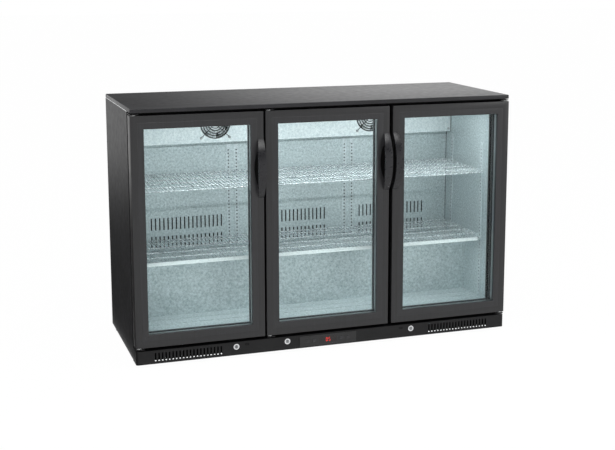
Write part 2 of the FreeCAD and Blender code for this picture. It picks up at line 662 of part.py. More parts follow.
def build_evaporator():
    """Finned coil between the fans, and the drip tray with its drain under it."""
    y = value("duct_y") - value("coil_depth") / 2
    low = value("cover_bottom") + value("panel_thickness") + value("drip_height")
    coil = finned_block(value("coil_width"), value("coil_depth"), value("coil_height"),
                        value("coil_fin_pitch"), value("pipe_radius"), 4)
    coil.translate(Vector(-value("coil_width") / 2, y, low))
    node("evaporator_coil", shape("evaporator_coil", coil))

    tray_low = "cover_bottom + panel_thickness"
    outer = span("drip_blank", ("-coil_width / 2 - tray_wall * 2", "cover_y + panel_thickness", tray_low),
                 ("coil_width / 2 + tray_wall * 2", "liner_back", tray_low + " + drip_height"))
    inner = span("drip_inside",
                 ("-coil_width / 2 - tray_wall", "cover_y + panel_thickness + tray_wall",
                  tray_low + " + tray_wall"),
                 ("coil_width / 2 + tray_wall", "liner_back - tray_wall", "cabinet_height"))
    label, x, radius = pipe_places()[0]
    spout = cylinder("drain_pipe", (x, "duct_line_y", "base_top + tray_height / 2"), radius,
                     "cover_bottom + panel_thickness + tray_wall - base_top - tray_height / 2")
    bore = cylinder("drain_bore", (x, "duct_line_y", "foot_clearance"), radius + " - tray_wall",
                    "cabinet_height")
    tray = fuse("drip_tray_whole", [cut("drip_tray_dish", outer, [inner]), spout])
    lines = duct_holes("drip_hole", "foot_clearance", "cabinet_height")[1:]
    node("evaporator_drip_tray", cut("evaporator_drip_tray", tray, [bore] + lines))


# ---------------------------------------------------------------- shelves
def perforated_strip(length):
    """Return a shelf standard about its back centre line, with a row of square holes."""
    width, thick = value("standard_width"), value("standard_thickness")
    hole, pitch = value("standard_hole"), value("standard_pitch")
    strip = Part.makeBox(width, thick, length, Vector(-width / 2, -thick, 0))
    count = int((length - pitch) / pitch)
    holes = [Part.makeBox(hole, 3 * thick, hole, Vector(-hole / 2, -2 * thick, pitch * (i + 0.5)))
             for i in range(count)]
    return strip.cut(Part.makeCompound(holes))


def standard_places():
    """Return each shelf standard: x, y, turn about Z, and its low and high end."""
    side, front = value("liner_x"), value("shelf_y") + value("side_standard_setback")
    rear, offset = front + value("side_standard_spacing"), value("standard_offset")
    high = value("cover_bottom") - value("standard_roof_gap")
    full = (value("floor_z") + value("standard_floor_gap"), high)
    short = (value("hump_top") + value("vent_low_rise"), high)
    raised = (value("hump_top") + value("standard_hump_gap"), high)
    places_found = []
    for sign in (-1, 1):
        turn = 90.0 * sign
        places_found.append((sign * side, front, -turn, full))
        places_found.append((sign * side, rear, -turn, raised))
    for name in ("left_mullion_x", "right_mullion_x"):
        for sign in (-1, 1):
            x = value(name) + sign * offset
            places_found.append((x, value("duct_y"), 0.0, short))
            places_found.append((x, value("face_y") + value("mullion_depth"), 180.0, full))
    return places_found


def build_standards():
    """Perforated strips that carry the shelf clips."""
    strips = []
    for x, y, turn, (low, high) in standard_places():
        strip = perforated_strip(high - low)
        strip.rotate(Vector(), Vector(0, 0, 1), turn)
        strip.translate(Vector(x, y, low))
        strips.append(strip)
    node("shelf_standards", shape("shelf_standards", Part.makeCompound(strips)))


def shelf_spans():
    """Return the left and right edge of each bay's shelf."""
    gap = value("shelf_side_gap")
    edges = [-value("liner_x") + gap, value("left_mullion_x"), value("right_mullion_x"),
             value("liner_x") - gap]
    trims = [(0, -gap), (gap, -gap), (gap, 0)]
    return [(edges[i] + low, edges[i + 1] + high) for i, (low, high) in enumerate(trims)]


def wire_shelf(width, with_strip):
    """Return a wire shelf from its front left corner, top at z = 0, running back along +Y."""
    depth, wire, rod = value("shelf_depth"), value("shelf_wire"), value("shelf_rod")
    spaces = max(2, int(round(width / value("wire_pitch"))))
    step = (width - wire) / spaces
    pieces = [Part.makeBox(wire, depth, wire, Vector(step * i, 0, -wire)) for i in range(spaces + 1)]
    stations = [value("rod_pitch") * i for i in range(int(depth / value("rod_pitch")) + 1)]
    for y in stations + [depth - rod]:
        pieces.append(Part.makeBox(width, rod, rod, Vector(0, y, -wire - rod)))
    if with_strip:
        tall, skin = value("strip_height"), value("strip_thickness")
        end = value("standard_offset") + value("clip_width") / 2 - value("shelf_side_gap") + 2
        pieces.append(Part.makeBox(width - 2 * end, skin, tall, Vector(end, -skin, -wire - tall)))
    return pieces[0].multiFuse(pieces[1:]).removeSplitter()


def build_shelves():
    """Two levels of lift-out wire shelves, one in each bay, on four clips each."""
    stack = value("shelf_wire") + value("shelf_rod")
    clips = []
    for name, rise, strip in (("upper_shelves", "upper_shelf_rise", False),
                              ("lower_shelves", "lower_shelf_rise", True)):
        top = value("floor_z") + value(rise)
        shelves = []
        for left, right in shelf_spans():
            shelf = wire_shelf(right - left, strip)
            shelf.translate(Vector(left, value("shelf_y"), top))
            shelves.append(shelf)
        node(name, shape(name, Part.makeCompound(shelves)))
        for x, y, turn, (low, high) in standard_places():
            clip = hook_clip()
            clip.rotate(Vector(), Vector(0, 0, 1), turn)
            clip.translate(Vector(x, y, top - stack))
            clips.append(clip)
    node("shelf_clips", shape("shelf_clips", Part.makeCompound(clips)))


def hook_clip():
    """Return a bent clip hung on a standard, its top face at z = 0, reaching along -Y."""
    width, reach, tall = value("clip_width"), value("clip_reach"), value("clip_height")
    skin, front = value("strip_thickness"), -value("standard_thickness")
    arm = Part.makeBox(width, reach, skin, Vector(-width / 2, front - reach, -skin))
    plate = Part.makeBox(width, skin, tall, Vector(-width / 2, front - skin, -tall))
    return arm.fuse(plate).removeSplitter()


def build_lamp():
    """Sealed light strip along the front of the ceiling."""
    low = ("-lamp_width / 2", "face_y + mullion_depth + 1", "liner_top - lamp_height")
    high = ("lamp_width / 2", "face_y + mullion_depth + 1 + lamp_depth", "liner_top")
    blank = span("lamp_blank", low, high)
    node("light_strip", round_edges("light_strip", blank,
                                    lambda edge: runs_along(edge, "x")
                                    and lies_at(edge, "z", value("liner_top") - value("lamp_height")),
                                    "kick_corner" if value("lamp_height") > 2 * value("kick_corner")
                                    else "top_edge_radius"))


# ---------------------------------------------------------------- doors
def build_door(side, door_x, sign):
    """One glass door: stiles and rails, double glazing, gasket and handle."""
    prefix = "door_%s_" % side
    far_x = door_x + " + door_width"
    glass_low = "glass_y"
    groove = ("channel_depth", "glass_depth + 2 * glass_clearance")

    bars = []
    for end, low_x, groove_x in (("left", door_x, door_x + " + stile_width - channel_depth"),
                                 ("right", far_x + " - stile_width", far_x + " - stile_width")):
        blank = box(prefix + "stile", (low_x, "front_y", "door_bottom"),
                    ("stile_width", "door_thickness", "door_height"))
        outer_x = door_x if end == "left" else far_x
        rounded = round_edges(prefix + "stile_rounded", blank,
                              lambda edge, at=outer_x: runs_along(edge, "z")
                              and lies_at(edge, "y", value("front_y"))
                              and lies_at(edge, "x", value_of_side(at)), "door_edge_radius")
        tools = [box(prefix + "stile_groove",
                     (groove_x, glass_low + " - glass_clearance",
                      "door_bottom + rail_height - channel_depth"),
                     (groove[0], groove[1], "opening_height + 2 * channel_depth"))]
        if (end == "left") == (sign > 0):
            tools += hinge_holes(prefix, door_x, sign)
        bars.append(cut(prefix + end + "_stile", rounded, tools))
    for end, low_z, groove_z in (("bottom", "door_bottom", "door_bottom + rail_height - channel_depth"),
                                 ("top", "door_top - rail_height", "door_top - rail_height")):
        blank = box(prefix + "rail", (door_x + " + stile_width", "front_y", low_z),
                    ("opening_width", "door_thickness", "rail_height"))
        tools = [box(prefix + "rail_groove",
                     (door_x + " + stile_width", glass_low + " - glass_clearance", groove_z),
                     ("opening_width", groove[1], groove[0]))]
        if end == "bottom":
            tools.append(cam_slot(prefix, side))
        bars.append(cut(prefix + end + "_rail", blank, tools))
    node(prefix + "frame", compound(prefix + "frame", bars))

    bite_low = (door_x + " + stile_width - glass_bite", "door_bottom + rail_height - glass_bite")
    pane = ("opening_width + 2 * glass_bite", "opening_height + 2 * glass_bite")
    panes = [box(prefix + "pane", (bite_low[0], y, bite_low[1]), (pane[0], "pane_thickness", pane[1]))
             for y in ("glass_y", "glass_y + pane_thickness + pane_space")]
    node(prefix + "panes", compound(prefix + "panes", panes))
    outer = box(prefix + "spacer_blank", (bite_low[0], "glass_y + pane_thickness", bite_low[1]),
                (pane[0], "pane_space", pane[1]))
    inner = box(prefix + "spacer_hole",
                (bite_low[0] + " + spacer_width", "front_y", bite_low[1] + " + spacer_width"),
                (pane[0] + " - 2 * spacer_width", "cabinet_depth", pane[1] + " - 2 * spacer_width"))
    node(prefix + "spacer", cut(prefix + "spacer", outer, [inner]))

    seal_y = "front_y + door_thickness"
    ring = box(prefix + "gasket_blank", (door_x + " + gasket_inset", seal_y, "door_bottom + gasket_inset"),
               ("door_width - 2 * gasket_inset", "gasket_depth", "door_height - 2 * gasket_inset"))
    reach = "gasket_inset + gasket_width"
    hole = box(prefix + "gasket_hole", (door_x + " + " + reach, "front_y", "door_bottom + " + reach),
               ("door_width - 2 * (%s)" % reach, "cabinet_depth", "door_height - 2 * (%s)" % reach))
    node(prefix + "gasket", cut(prefix + "gasket", ring, [hole]))
    free_x = far_x if sign > 0 else door_x
    node(prefix + "handle", handle(prefix, free_x, -sign))


def value_of_side(text):
    """Return the number of a door edge given as a place, or a place plus the door width."""
    return sum(value(word) for word in WORD.findall(text))


def hinge_holes(prefix, door_x, sign):
    """Return the blind holes for the hinge pins at the bottom and the top of a stile."""
    x = hinge_x(door_x, sign)
    radius = "pin_radius + running_clearance"
    return [cylinder(prefix + "pin_hole", (x, "pivot_y", z), radius, "pin_reach + 2")
            for z in ("door_bottom - 1", "door_top - pin_reach - 1")]


def hinge_x(door_x, sign):
    """Return the x of a door's pivot as an expression."""
    return door_x + (" + pivot_side" if sign > 0 else " + door_width - pivot_side")


def lock_x(side):
    """Return the x of the lock that serves one door."""
    return {"left": "left_door_x + door_width - lock_left_inset",
            "centre": "centre_door_x + lock_centre_inset",
            "right": "right_door_x + lock_right_inset"}[side]


def cam_slot(prefix, side):
    """Return the cutter for the slot in the bottom rail that takes the lock's cam."""
    x = lock_x(side)
    return box(prefix + "cam_slot", (x + " - cam_width * 0.75", "cam_y - cam_room / 2", "door_bottom - 1"),
               ("cam_reach + cam_width * 0.75", "cam_thickness + cam_room",
                "lock_z + cam_reach - door_bottom + cam_room"))


def handle(prefix, free_x, sign):
    """Return a bowed pull at the free edge, with a dark scoop plate behind it."""
    height, width = value("handle_height"), value("handle_width")
    belly, reach, thick = value("handle_belly"), value("handle_reach"), value("handle_thickness")
    scoop, scoop_width = value("scoop_height"), value("scoop_width")
    edge_x, front = value_of_side(free_x), value("front_y")
    top = value("door_top") - value("handle_drop")
    middle = top - height / 2
    low, high = middle - height / 2, middle + height / 2

    def profile(rise_low, rise_high, depth):
        arc = Part.Arc(Vector(0, 0, rise_low), Vector(0, -depth, middle), Vector(0, 0, rise_high))
        return Part.Face(Part.Wire([arc.toShape(), Part.makeLine(Vector(0, 0, rise_high),
                                                                 Vector(0, 0, rise_low))]))

    full = width + belly
    bow = profile(low, high, reach).extrude(Vector(full, 0, 0))
    gap = profile(low + thick * 2, high - thick * 2, reach - thick).extrude(Vector(full, 0, 0))
    bow = bow.cut(gap)
    outline = Part.Wire([
        Part.makeLine(Vector(0, 0, high), Vector(0, 0, low)),
        Part.makeLine(Vector(0, 0, low), Vector(width, 0, low)),
        Part.Arc(Vector(width, 0, low), Vector(full, 0, middle), Vector(width, 0, high)).toShape(),
        Part.makeLine(Vector(width, 0, high), Vector(0, 0, high))])
    window = Part.Face(outline).extrude(Vector(0, -2 * reach, 0))
    bow = bow.common(window)
    plate_edge = Part.Wire([
        Part.makeLine(Vector(1, 0, middle + scoop / 2), Vector(1, 0, middle - scoop / 2)),
        Part.makeLine(Vector(1, 0, middle - scoop / 2), Vector(width - 2, 0, middle - scoop / 2)),
        Part.Arc(Vector(width - 2, 0, middle - scoop / 2), Vector(scoop_width, 0, middle),
                 Vector(width - 2, 0, middle + scoop / 2)).toShape(),
        Part.makeLine(Vector(width - 2, 0, middle + scoop / 2), Vector(1, 0, middle + scoop / 2))])
    plate = Part.Face(plate_edge).extrude(Vector(0, -value("kick_skin"), 0))
    solid = bow.fuse(plate).removeSplitter()
    soft = [edge for edge in solid.Edges if edge.BoundBox.YMin < -reach * 0.6 and edge.Length > height / 2
            and edge.BoundBox.YLength > reach / 2]
    rounded = solid.makeFillet(min(2.5, thick / 3), soft)
    solid = rounded if rounded.isValid() else solid
    if sign < 0:
        solid = solid.mirror(Vector(), Vector(1, 0, 0))
    solid.translate(Vector(edge_x, front, 0))
    return shape(prefix + "handle", solid)


def build_hinges():
    """Pivot brackets under and over each door, and the pins that the doors turn on."""
    brackets, pins = [], []
    for side, door_x, sign in DOORS:
        low_x = door_x + " + 1" if sign > 0 else door_x + " + door_width - bracket_width - 1"
        flange_x = low_x if sign > 0 else door_x + " + door_width - bracket_flange - 1"
        pin_x = hinge_x(door_x, sign)
        low_plate = "kick_top + (kick_gap - bracket_thickness) / 2"
        high_plate = "door_top + (top_gap - bracket_thickness) / 2"
        for end, plate_z, flange_z in (("low", low_plate, low_plate),
                                       ("high", high_plate,
                                        high_plate + " + bracket_thickness - bracket_rise")):
            plate = box("bracket_plate", (low_x, "front_y + 2", plate_z),
                        ("bracket_width", "face_y - front_y - 2", "bracket_thickness"))
            flange = box("bracket_flange_" + end, (flange_x, "face_y - bracket_thickness", flange_z),
                         ("bracket_flange", "bracket_thickness", "bracket_rise"))
            brackets.append(fuse("bracket_" + end, [plate, flange]))
        pins.append(span_pin(pin_x, low_plate + " + bracket_thickness", "door_bottom + pin_reach"))
        pins.append(span_pin(pin_x, "door_top - pin_reach", high_plate))
    node("hinge_brackets", compound("hinge_brackets", brackets))
    node("hinge_pins", compound("hinge_pins", pins))


def span_pin(x, low, high):
    """Return one upright hinge pin between two heights."""
    return cylinder("hinge_pin", (x, "pivot_y", low), "pin_radius", "(%s) - (%s)" % (high, low))


# ---------------------------------------------------------------- kick panel, locks, controller
def build_kick_panel():
    """Pressed plinth cover with louvres, lock holes, cam slots and a controller window."""
    blank = span("kick_blank", ("-half_width", "front_y", "foot_clearance"),
                 ("half_width", "face_y", "kick_top"))
    outer = round_edges("kick_rounded", blank, lambda edge: runs_along(edge, "z")
                        and lies_at(edge, "y", value("front_y")), "kick_corner")
    hollow = span("kick_hollow", ("-half_width + kick_skin", "front_y + kick_skin", "0"),
                  ("half_width - kick_skin", "face_y + 1", "kick_top - kick_skin"))
    inner = round_edges("kick_hollow_rounded", hollow, lambda edge: runs_along(edge, "z")
                        and lies_at(edge, "y", value("front_y") + value("kick_skin")), "kick_corner")
    tools = [inner]
    low_z = "foot_clearance + (kick_height - louvre_height) / 2"
    last = int(value("louvre_count"))
    for number in range(last):
        for x in ("-half_width + louvre_left_inset + louvre_pitch * %d" % number,
                  "half_width - louvre_right_inset - louvre_width - louvre_pitch * %d" % number):
            tools.append(box("louvre", (x, "front_y - 1", low_z),
                             ("louvre_width", "kick_skin + 2", "louvre_height")))
    for side, door_x, sign in DOORS:
        x = lock_x(side)
        tools.append(cylinder("kick_lock_hole", (x, "front_y - 1", "lock_z"), "lock_barrel + running_clearance * 2",
                              "kick_skin + 2", "y"))
        tools.append(box("kick_cam_slot", (x + " - cam_width * 0.75", "cam_y - cam_room / 2",
                                          "kick_top - kick_height / 2"),
                         ("cam_reach + cam_width * 0.75", "cam_thickness + cam_room", "kick_height")))
    tools.append(box("kick_window", ("controller_x - controller_width / 2 + 3", "front_y - 1",
                                     "controller_z - controller_height / 2 + 3"),
                     ("controller_width - 6", "kick_skin + 2", "controller_height - 6")))
    node("kick_panel", cut("kick_panel", outer, tools))


def build_locks():
    """Cam locks: fixed barrels in the plinth, and turning plugs that lift a cam into the door."""
    barrels = []
    for side, door_x, sign in DOORS:
        x = lock_x(side)
        rim = cylinder("lock_rim", (x, "front_y - lock_rim", "lock_z"), "lock_flange", "lock_rim", "y")
        sleeve = cylinder("lock_sleeve", (x, "front_y", "lock_z"), "lock_barrel", "lock_length - 1", "y")
        nut = cylinder("lock_nut", (x, "front_y + kick_skin", "lock_z"), "lock_flange + 2", "lock_nut", "y")
        bore = cylinder("lock_bore", (x, "front_y - lock_rim - 1", "lock_z"),
                        "lock_plug + running_clearance", "lock_length + lock_rim + 1", "y")
        barrels.append(cut("lock_barrel_" + side, fuse("lock_shell", [rim, sleeve, nut]), [bore]))

        face = "front_y - lock_rim - plug_proud"
        core = cylinder("plug_core", (x, face, "lock_z"), "lock_plug",
                        "lock_length + lock_rim + plug_proud", "y")
        arm = box("plug_cam", (x, "cam_y", "lock_z - cam_width / 2"),
                  ("cam_reach - cam_width / 2", "cam_thickness", "cam_width"))
        eye = cylinder("plug_cam_eye", (x, "cam_y", "lock_z"), "cam_width / 2", "cam_thickness", "y")
        tip = cylinder("plug_cam_tip", (x + " + cam_reach - cam_width / 2", "cam_y", "lock_z"),
                       "cam_width / 2", "cam_thickness", "y")
        key_slot = box("plug_key_slot", (x + " - key_slot_width / 2", face, "lock_z - key_slot_height / 2"),
                       ("key_slot_width", "key_slot_depth", "key_slot_height"))
        node("lock_plug_" + side, cut("lock_plug_" + side, fuse("plug_whole", [core, arm, eye, tip]),
                                      [key_slot]))
    node("lock_barrels", compound("lock_barrels", barrels))


def key_places():
    """Return the four controller keys: name and distance from the controller's middle."""
    return [("light_key", "-key_outer"), ("defrost_key", "-key_inner"),
            ("down_key", "key_inner"), ("up_key", "key_outer")]


def build_controller():
    """Temperature controller in the plinth: housing, display window and four travelling keys."""
    half = "controller_width / 2"
    bezel = box("controller_bezel", ("controller_x - " + half, "front_y - bezel_thickness",
                                     "controller_z - controller_height / 2"),
                ("controller_width", "bezel_thickness", "controller_height"))
    case = box("controller_case", ("controller_x - " + half + " + 3.4", "front_y",
                                   "controller_z - controller_height / 2 + 3.4"),
               ("controller_width - 6.8", "controller_depth", "controller_height - 6.8"))
    rear = box("controller_hollow", ("controller_x - " + half + " + 5.4", "front_y + 8",
                                     "controller_z - controller_height / 2 + 5.4"),
               ("controller_width - 10.8", "controller_depth", "controller_height - 10.8"))
    window = box("display_pocket", ("controller_x - display_width / 2", "front_y - bezel_thickness - 1",
                                    "controller_z - display_height / 2"),
                 ("display_width", "3", "display_height"))
    tools = [rear, window]
    for name, shift in key_places():
        tools.append(box(name + "_pocket",
                         ("controller_x + %s - key_width / 2 - key_clearance" % shift,
                          "front_y - bezel_thickness - 1", "controller_z - key_height / 2 - key_clearance"),
                         ("key_width + 2 * key_clearance", "7", "key_height + 2 * key_clearance")))
        cap = box(name, ("controller_x + %s - key_width / 2" % shift,
                         "front_y - bezel_thickness - key_travel", "controller_z - key_height / 2"),
                  ("key_width", "5", "key_height"))
        node("controller_" + name, cap)
    node("controller_housing", cut("controller_housing", fuse("controller_whole", [bezel, case]), tools))
    node("controller_display", box("controller_display",
                                   ("controller_x - display_width / 2", "front_y - bezel_thickness",
                                    "controller_z - display_height / 2"),
                                   ("display_width", "2", "display_height")))


# ---------------------------------------------------------------- machine compartment
def pipe(points, radius):
    """Return a round tube through points, with each corner bent on a tangent arc."""
    knots = [Vector(*point) for point in points]
    edges, start = [], knots[0]
    for before, corner, after in zip(knots, knots[1:], knots[2:]):
        into, out = (corner - before), (after - corner)
        turn = into.getAngle(out)
        trim = 0.45 * min(into.Length, out.Length)
        begin = corner - into.normalize() * trim
        end = corner + out.normalize() * trim
        bend = trim / math.tan(turn / 2)
        inwards = ((begin + end) * 0.5 - corner).normalize()
        middle = corner + inwards * (math.hypot(trim, bend) - bend)
        edges.append(Part.makeLine(start, begin))
        edges.append(Part.Arc(begin, middle, end).toShape())
        start = end
    edges.append(Part.makeLine(start, knots[-1]))
    path = Part.Wire(edges)
    ring = Part.Wire([Part.makeCircle(radius, knots[0], knots[1] - knots[0])])
    return path.makePipeShell([ring], True, False)


def build_compressor():
    """Hermetic compressor with rounded ends on a sheet foot."""
    radius, tall = value("compressor_radius"), value("compressor_height")
    x, y, low = value("compressor_x"), value("bay_mid_y"), value("base_top")
    shell = Part.makeCylinder(radius, tall, Vector(x, y, low + 12))
    rims = [edge for edge in shell.Edges if isinstance(edge.Curve, Part.Circle)]
    shell = shell.makeFillet(radius / 3, rims)
    foot = Part.makeBox(radius * 2.2, radius * 1.8, 3, Vector(x - radius * 1.1, y - radius * 0.9, low + 10))
    pads = [Part.makeCylinder(9, 11, Vector(x + i * radius * 0.95, y + j * radius * 0.75, low))
            for i in (-1, 1) for j in (-1, 1)]
    neck = Part.makeCylinder(radius * 0.7, 4, Vector(x, y, low + 11))
    starter = Part.makeBox(34, 30, 46, Vector(x + radius - 8, y - 15, low + 40))
    solid = shell.multiFuse([foot, neck, starter] + pads).removeSplitter()
    node("compressor", shape("compressor", solid))


def build_condenser():
    """Finned condenser with its shroud, motor and fan wheel blowing along the compartment."""
    x, low = value("condenser_x"), value("base_top")
    depth, tall, width = value("condenser_depth"), value("condenser_height"), value("condenser_width")
    y = value("bay_mid_y") - depth / 2
    block = finned_block(depth, width, tall, value("condenser_fin_pitch"), value("pipe_radius"), 6)
    block.rotate(Vector(), Vector(0, 0, 1), 90)
    block.translate(Vector(x + width, y, low))
    node("condenser", shape("condenser", block))

    shroud_x = "condenser_x + condenser_width"
    plate = box("shroud_blank", (shroud_x, "bay_mid_y - condenser_depth / 2", "base_top"),
                ("shroud_depth", "condenser_depth", "condenser_height"))
    bore = cylinder("shroud_bore", (shroud_x + " - 1", "bay_mid_y", "bay_mid_z"), "blower_bore",
                    "shroud_depth + 2", "x")
    inside = box("shroud_inside", (shroud_x + " - 1", "bay_mid_y - condenser_depth / 2 + tray_wall",
                                   "base_top + tray_wall"),
                 ("shroud_depth + 1 - tray_wall * 2", "condenser_depth - 2 * tray_wall",
                  "condenser_height - 2 * tray_wall"))
    motor_x = shroud_x + " + shroud_depth + 4"
    motor = cylinder("blower_motor", (motor_x, "bay_mid_y", "bay_mid_z"), "blower_hub", "motor_length", "x")
    shaft = cylinder("blower_axle", (shroud_x + " + 4", "bay_mid_y", "bay_mid_z"), "blower_shaft",
                     "shroud_depth + 4", "x")
    arm_x = motor_x + " + motor_length / 2"
    arms = []
    for sign in ("-", "+"):
        y_edge = "bay_mid_y %s (condenser_depth / 2 - 5)" % sign
        low_y = y_edge if sign == "-" else "bay_mid_y"
        arms.append(box("motor_arm", (arm_x, low_y, "bay_mid_z - 5"),
                        ("3", "condenser_depth / 2 - 5", "10")))
        arms.append(box("motor_leg", (shroud_x + " + shroud_depth - 1",
                                      y_edge if sign == "-" else y_edge + " - 3", "bay_mid_z - 5"),
                        ("motor_length / 2 + 8", "3", "10")))
    shell = cut("shroud_shell", plate, [bore, inside])
    node("condenser_fan_frame", fuse("condenser_fan_frame", [shell, motor, shaft] + arms))

    wheel = bladed_wheel(value("blower_hub") * 0.8, value("blower_bore") - value("fan_tip_gap") * 1.6,
                         value("blower_shaft") + value("running_clearance"), value("shroud_depth") - 6, 5,
                         value("blower_bore") * 0.6, 28.0)
    wheel.rotate(Vector(), Vector(0, 1, 0), 90)
    wheel.translate(Vector(x + width + 8, value("bay_mid_y"), value("bay_mid_z")))
    node("condenser_fan_rotor", shape("condenser_fan_rotor", wheel))


def build_condensate_tray():
    """Open tray on the base pan that catches and boils off the defrost water."""
    x = "drain_x - tray_width / 2"
    outer = box("condensate_blank", (x, "back_y - tray_depth - rear_wall / 2", "base_top"),
                ("tray_width", "tray_depth", "tray_height"))
    inner = box("condensate_inside", (x + " + tray_wall", "back_y - tray_depth - rear_wall / 2 + tray_wall",
                                      "base_top + tray_wall"),
                ("tray_width - 2 * tray_wall", "tray_depth - 2 * tray_wall", "tray_height"))
    node("condensate_tray", cut("condensate_tray", outer, [inner]))


def build_pipes():
    """Discharge line, suction line and liquid line with its filter drier."""
    line_y = value("duct_line_y")
    radius = value("pipe_radius")
    suction_x, liquid_x = -value("suction_shift"), -value("liquid_shift")
    comp_x, mid_y = value("compressor_x"), value("bay_mid_y")
    body_r, low = value("compressor_radius"), value("base_top")
    roof, cond_x = value("bay_roof"), value("condenser_x")
    coil_low = value("cover_bottom") + value("panel_thickness") + value("drip_height")
    top_z = low + value("compressor_height") - body_r / 3
    stub_y, stub_gap = body_r / 3, 0.3
    stub_x = comp_x + math.sqrt(body_r ** 2 - (stub_y - radius) ** 2) + stub_gap
    discharge = pipe([(stub_x, mid_y - stub_y, top_z - 20), (stub_x + 50, mid_y - stub_y, top_z - 20),
                      (stub_x + 110, mid_y - 44, roof - 40), (0, mid_y - 50, roof - 32),
                      (cond_x - 60, mid_y - 48, roof - 54), (cond_x, mid_y - 48, roof - 54)], radius)
    suction = pipe([(stub_x, mid_y + stub_y, top_z - 40), (stub_x + 60, mid_y + stub_y, top_z - 40),
                    (suction_x - 30, line_y - 20, roof - 60), (suction_x, line_y, roof - 20),
                    (suction_x, line_y, coil_low)], radius)
    liquid = pipe([(cond_x, mid_y + 20, low + 60), (cond_x - 45, mid_y + 20, low + 60),
                   (liquid_x + 10, line_y - 6, low + 90), (liquid_x, line_y, low + 130),
                   (liquid_x, line_y, coil_low)], radius)
    drier = Part.makeCylinder(value("drier_radius"), value("drier_length"),
                              Vector(liquid_x, line_y, roof - value("drier_length") - 14))
    rims = [edge for edge in drier.Edges if isinstance(edge.Curve, Part.Circle)]
    liquid = liquid.fuse(drier.makeFillet(value("drier_radius") / 2, rims)).removeSplitter()
    node("refrigerant_pipes", shape("refrigerant_pipes", Part.makeCompound([discharge, suction, liquid])))


def build_rear_grille():
    """Slotted cover over the back of the machine compartment, with a hole for the cable gland."""
    body = new_body("rear_grille")
    edge = "(half_width - flange_width)"
    outline = sketch_on(body, "grille_outline", "XZ_Plane", ("-%s" % edge, "base_top", "-skin_back"))
    add_rectangle(outline, "sheet", ("0", "0"), ("2 * %s" % edge, "bay_roof - base_top"))
    pad(body, "grille_sheet", outline, "sheet_thickness", True)
    slots = sketch_on(body, "grille_slots", "XZ_Plane", ("-%s" % edge, "base_top", "-skin_back"))
    rise = "(bay_roof - base_top - grille_slot_height) / 2"
    add_rectangle(slots, "slot", ("box_inset / 2", rise), ("grille_slot", "grille_slot_height"))
    first = pocket_through(body, "grille_first_slot", slots)
    repeat(body, "grille_slot_row", first, slots, "H_Axis",
           "floor((2 * %s - box_inset * 2.5) / grille_pitch)" % edge, "grille_pitch")
    outlet = sketch_on(body, "grille_outlet", "XZ_Plane", ("0", "0", "-skin_back"))
    add_circle(outlet, "gland", ("gland_x", "gland_z"), "gland_radius + pipe_gap")
    pocket_through(body, "grille_gland_hole", outlet)
    node("rear_grille", body)


def build_terminal_box():
    """Mains terminal box inside the rear grille, with a cable gland through it."""
    low = ("gland_x - box_width / 2", "skin_back - box_depth", "gland_z - box_height / 2")
    blank = box("terminal_blank", low, ("box_width", "box_depth", "box_height"))
    inside = box("terminal_inside", ("gland_x - box_width / 2 + tray_wall * 2",
                                     "skin_back - box_depth + tray_wall * 2",
                                     "gland_z - box_height / 2 + tray_wall * 2"),
                 ("box_width - 4 * tray_wall", "box_depth - 4 * tray_wall", "box_height - 4 * tray_wall"))
    gland = cylinder("gland_body", ("gland_x", "back_y - gland_length", "gland_z"), "gland_radius",
                     "gland_length", "y")
    bore = cylinder("gland_bore", ("gland_x", "back_y - gland_length - 1", "gland_z"), "cable_radius",
                    "gland_length + 2", "y")
    shell = fuse("terminal_shell", [cut("terminal_case", blank, [inside]), gland])
    node("mains_terminal_box", cut("mains_terminal_box", shell, [bore]))


def build_screws():
    """Pan-head screws of the cover, the duct panel and the fans."""
    places_found = list(screw_places())
    for side in ("-fan_spread", "fan_spread"):
        places_found += [(x, "cover_y - guard_wire", z) for x, z in fan_screw_places(side)]
    screws = []
    for x, y, z in places_found:
        head = cylinder("screw_cap", (x, y + " - screw_head_height", z), "screw_head", "screw_head_height",
                        "y")
        shank = cylinder("screw_thread", (x, y, z), "screw_shank - pipe_gap / 5", "screw_length", "y")
        screws.append(fuse("screw", [head, shank]))
    node("panel_screws", compound("panel_screws", screws))


# ---------------------------------------------------------------- build, check and write
def build():
    """Build every piece in the order that a bench would."""
    build_skin()
    build_feet()
    build_front_frame()
    build_insulation()
    build_liner()
    build_duct_panel()
    build_evaporator_cover()
    build_fan_guards()
    build_fan_frames()
    build_fan_rotors()
    build_evaporator()
    build_standards()
    build_shelves()
    build_lamp()
    for side, door_x, sign in DOORS:
        build_door(side, door_x, sign)
    build_hinges()
    build_kick_panel()
    build_locks()
    build_controller()
    build_compressor()
    build_condenser()
    build_condensate_tray()
    build_pipes()
    build_rear_grille()
    build_terminal_box()
    build_screws()


def check_and_write():
    """Check that each object recomputed and each piece is a valid solid, then write the files."""
    doc.recompute()
    broken = [item.Name for item in doc.Objects if "Invalid" in item.State or "Error" in item.State]
    if broken:
        raise RuntimeError("objects failed: " + ", ".join(broken))
    for item in NODES:
        if item.Shape.isNull() or not item.Shape.isValid() or not item.Shape.Solids:
            raise RuntimeError("bad shape: " + item.Label)
    os.makedirs("parts", exist_ok=True)
    for item in NODES:
        item.Shape.exportStep(os.path.join("parts", item.Label + ".step"))
    print("wrote %d pieces" % len(NODES))


build()
check_and_write()
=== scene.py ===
"""Studio scene of a three-door back-bar cooler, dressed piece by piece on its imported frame.

Lengths are metres in the cooler's own frame: +X to the right of a person facing the doors,
-Y to the front, +Z up, and the floor at zero. Sizes in the classes are millimetres.
"""

import logging
import math
from collections.abc import Callable, Iterator, Sequence
from contextlib import contextmanager
from dataclasses import dataclass, field
from enum import Enum

import bmesh
import bpy
from mathutils import Matrix, Vector


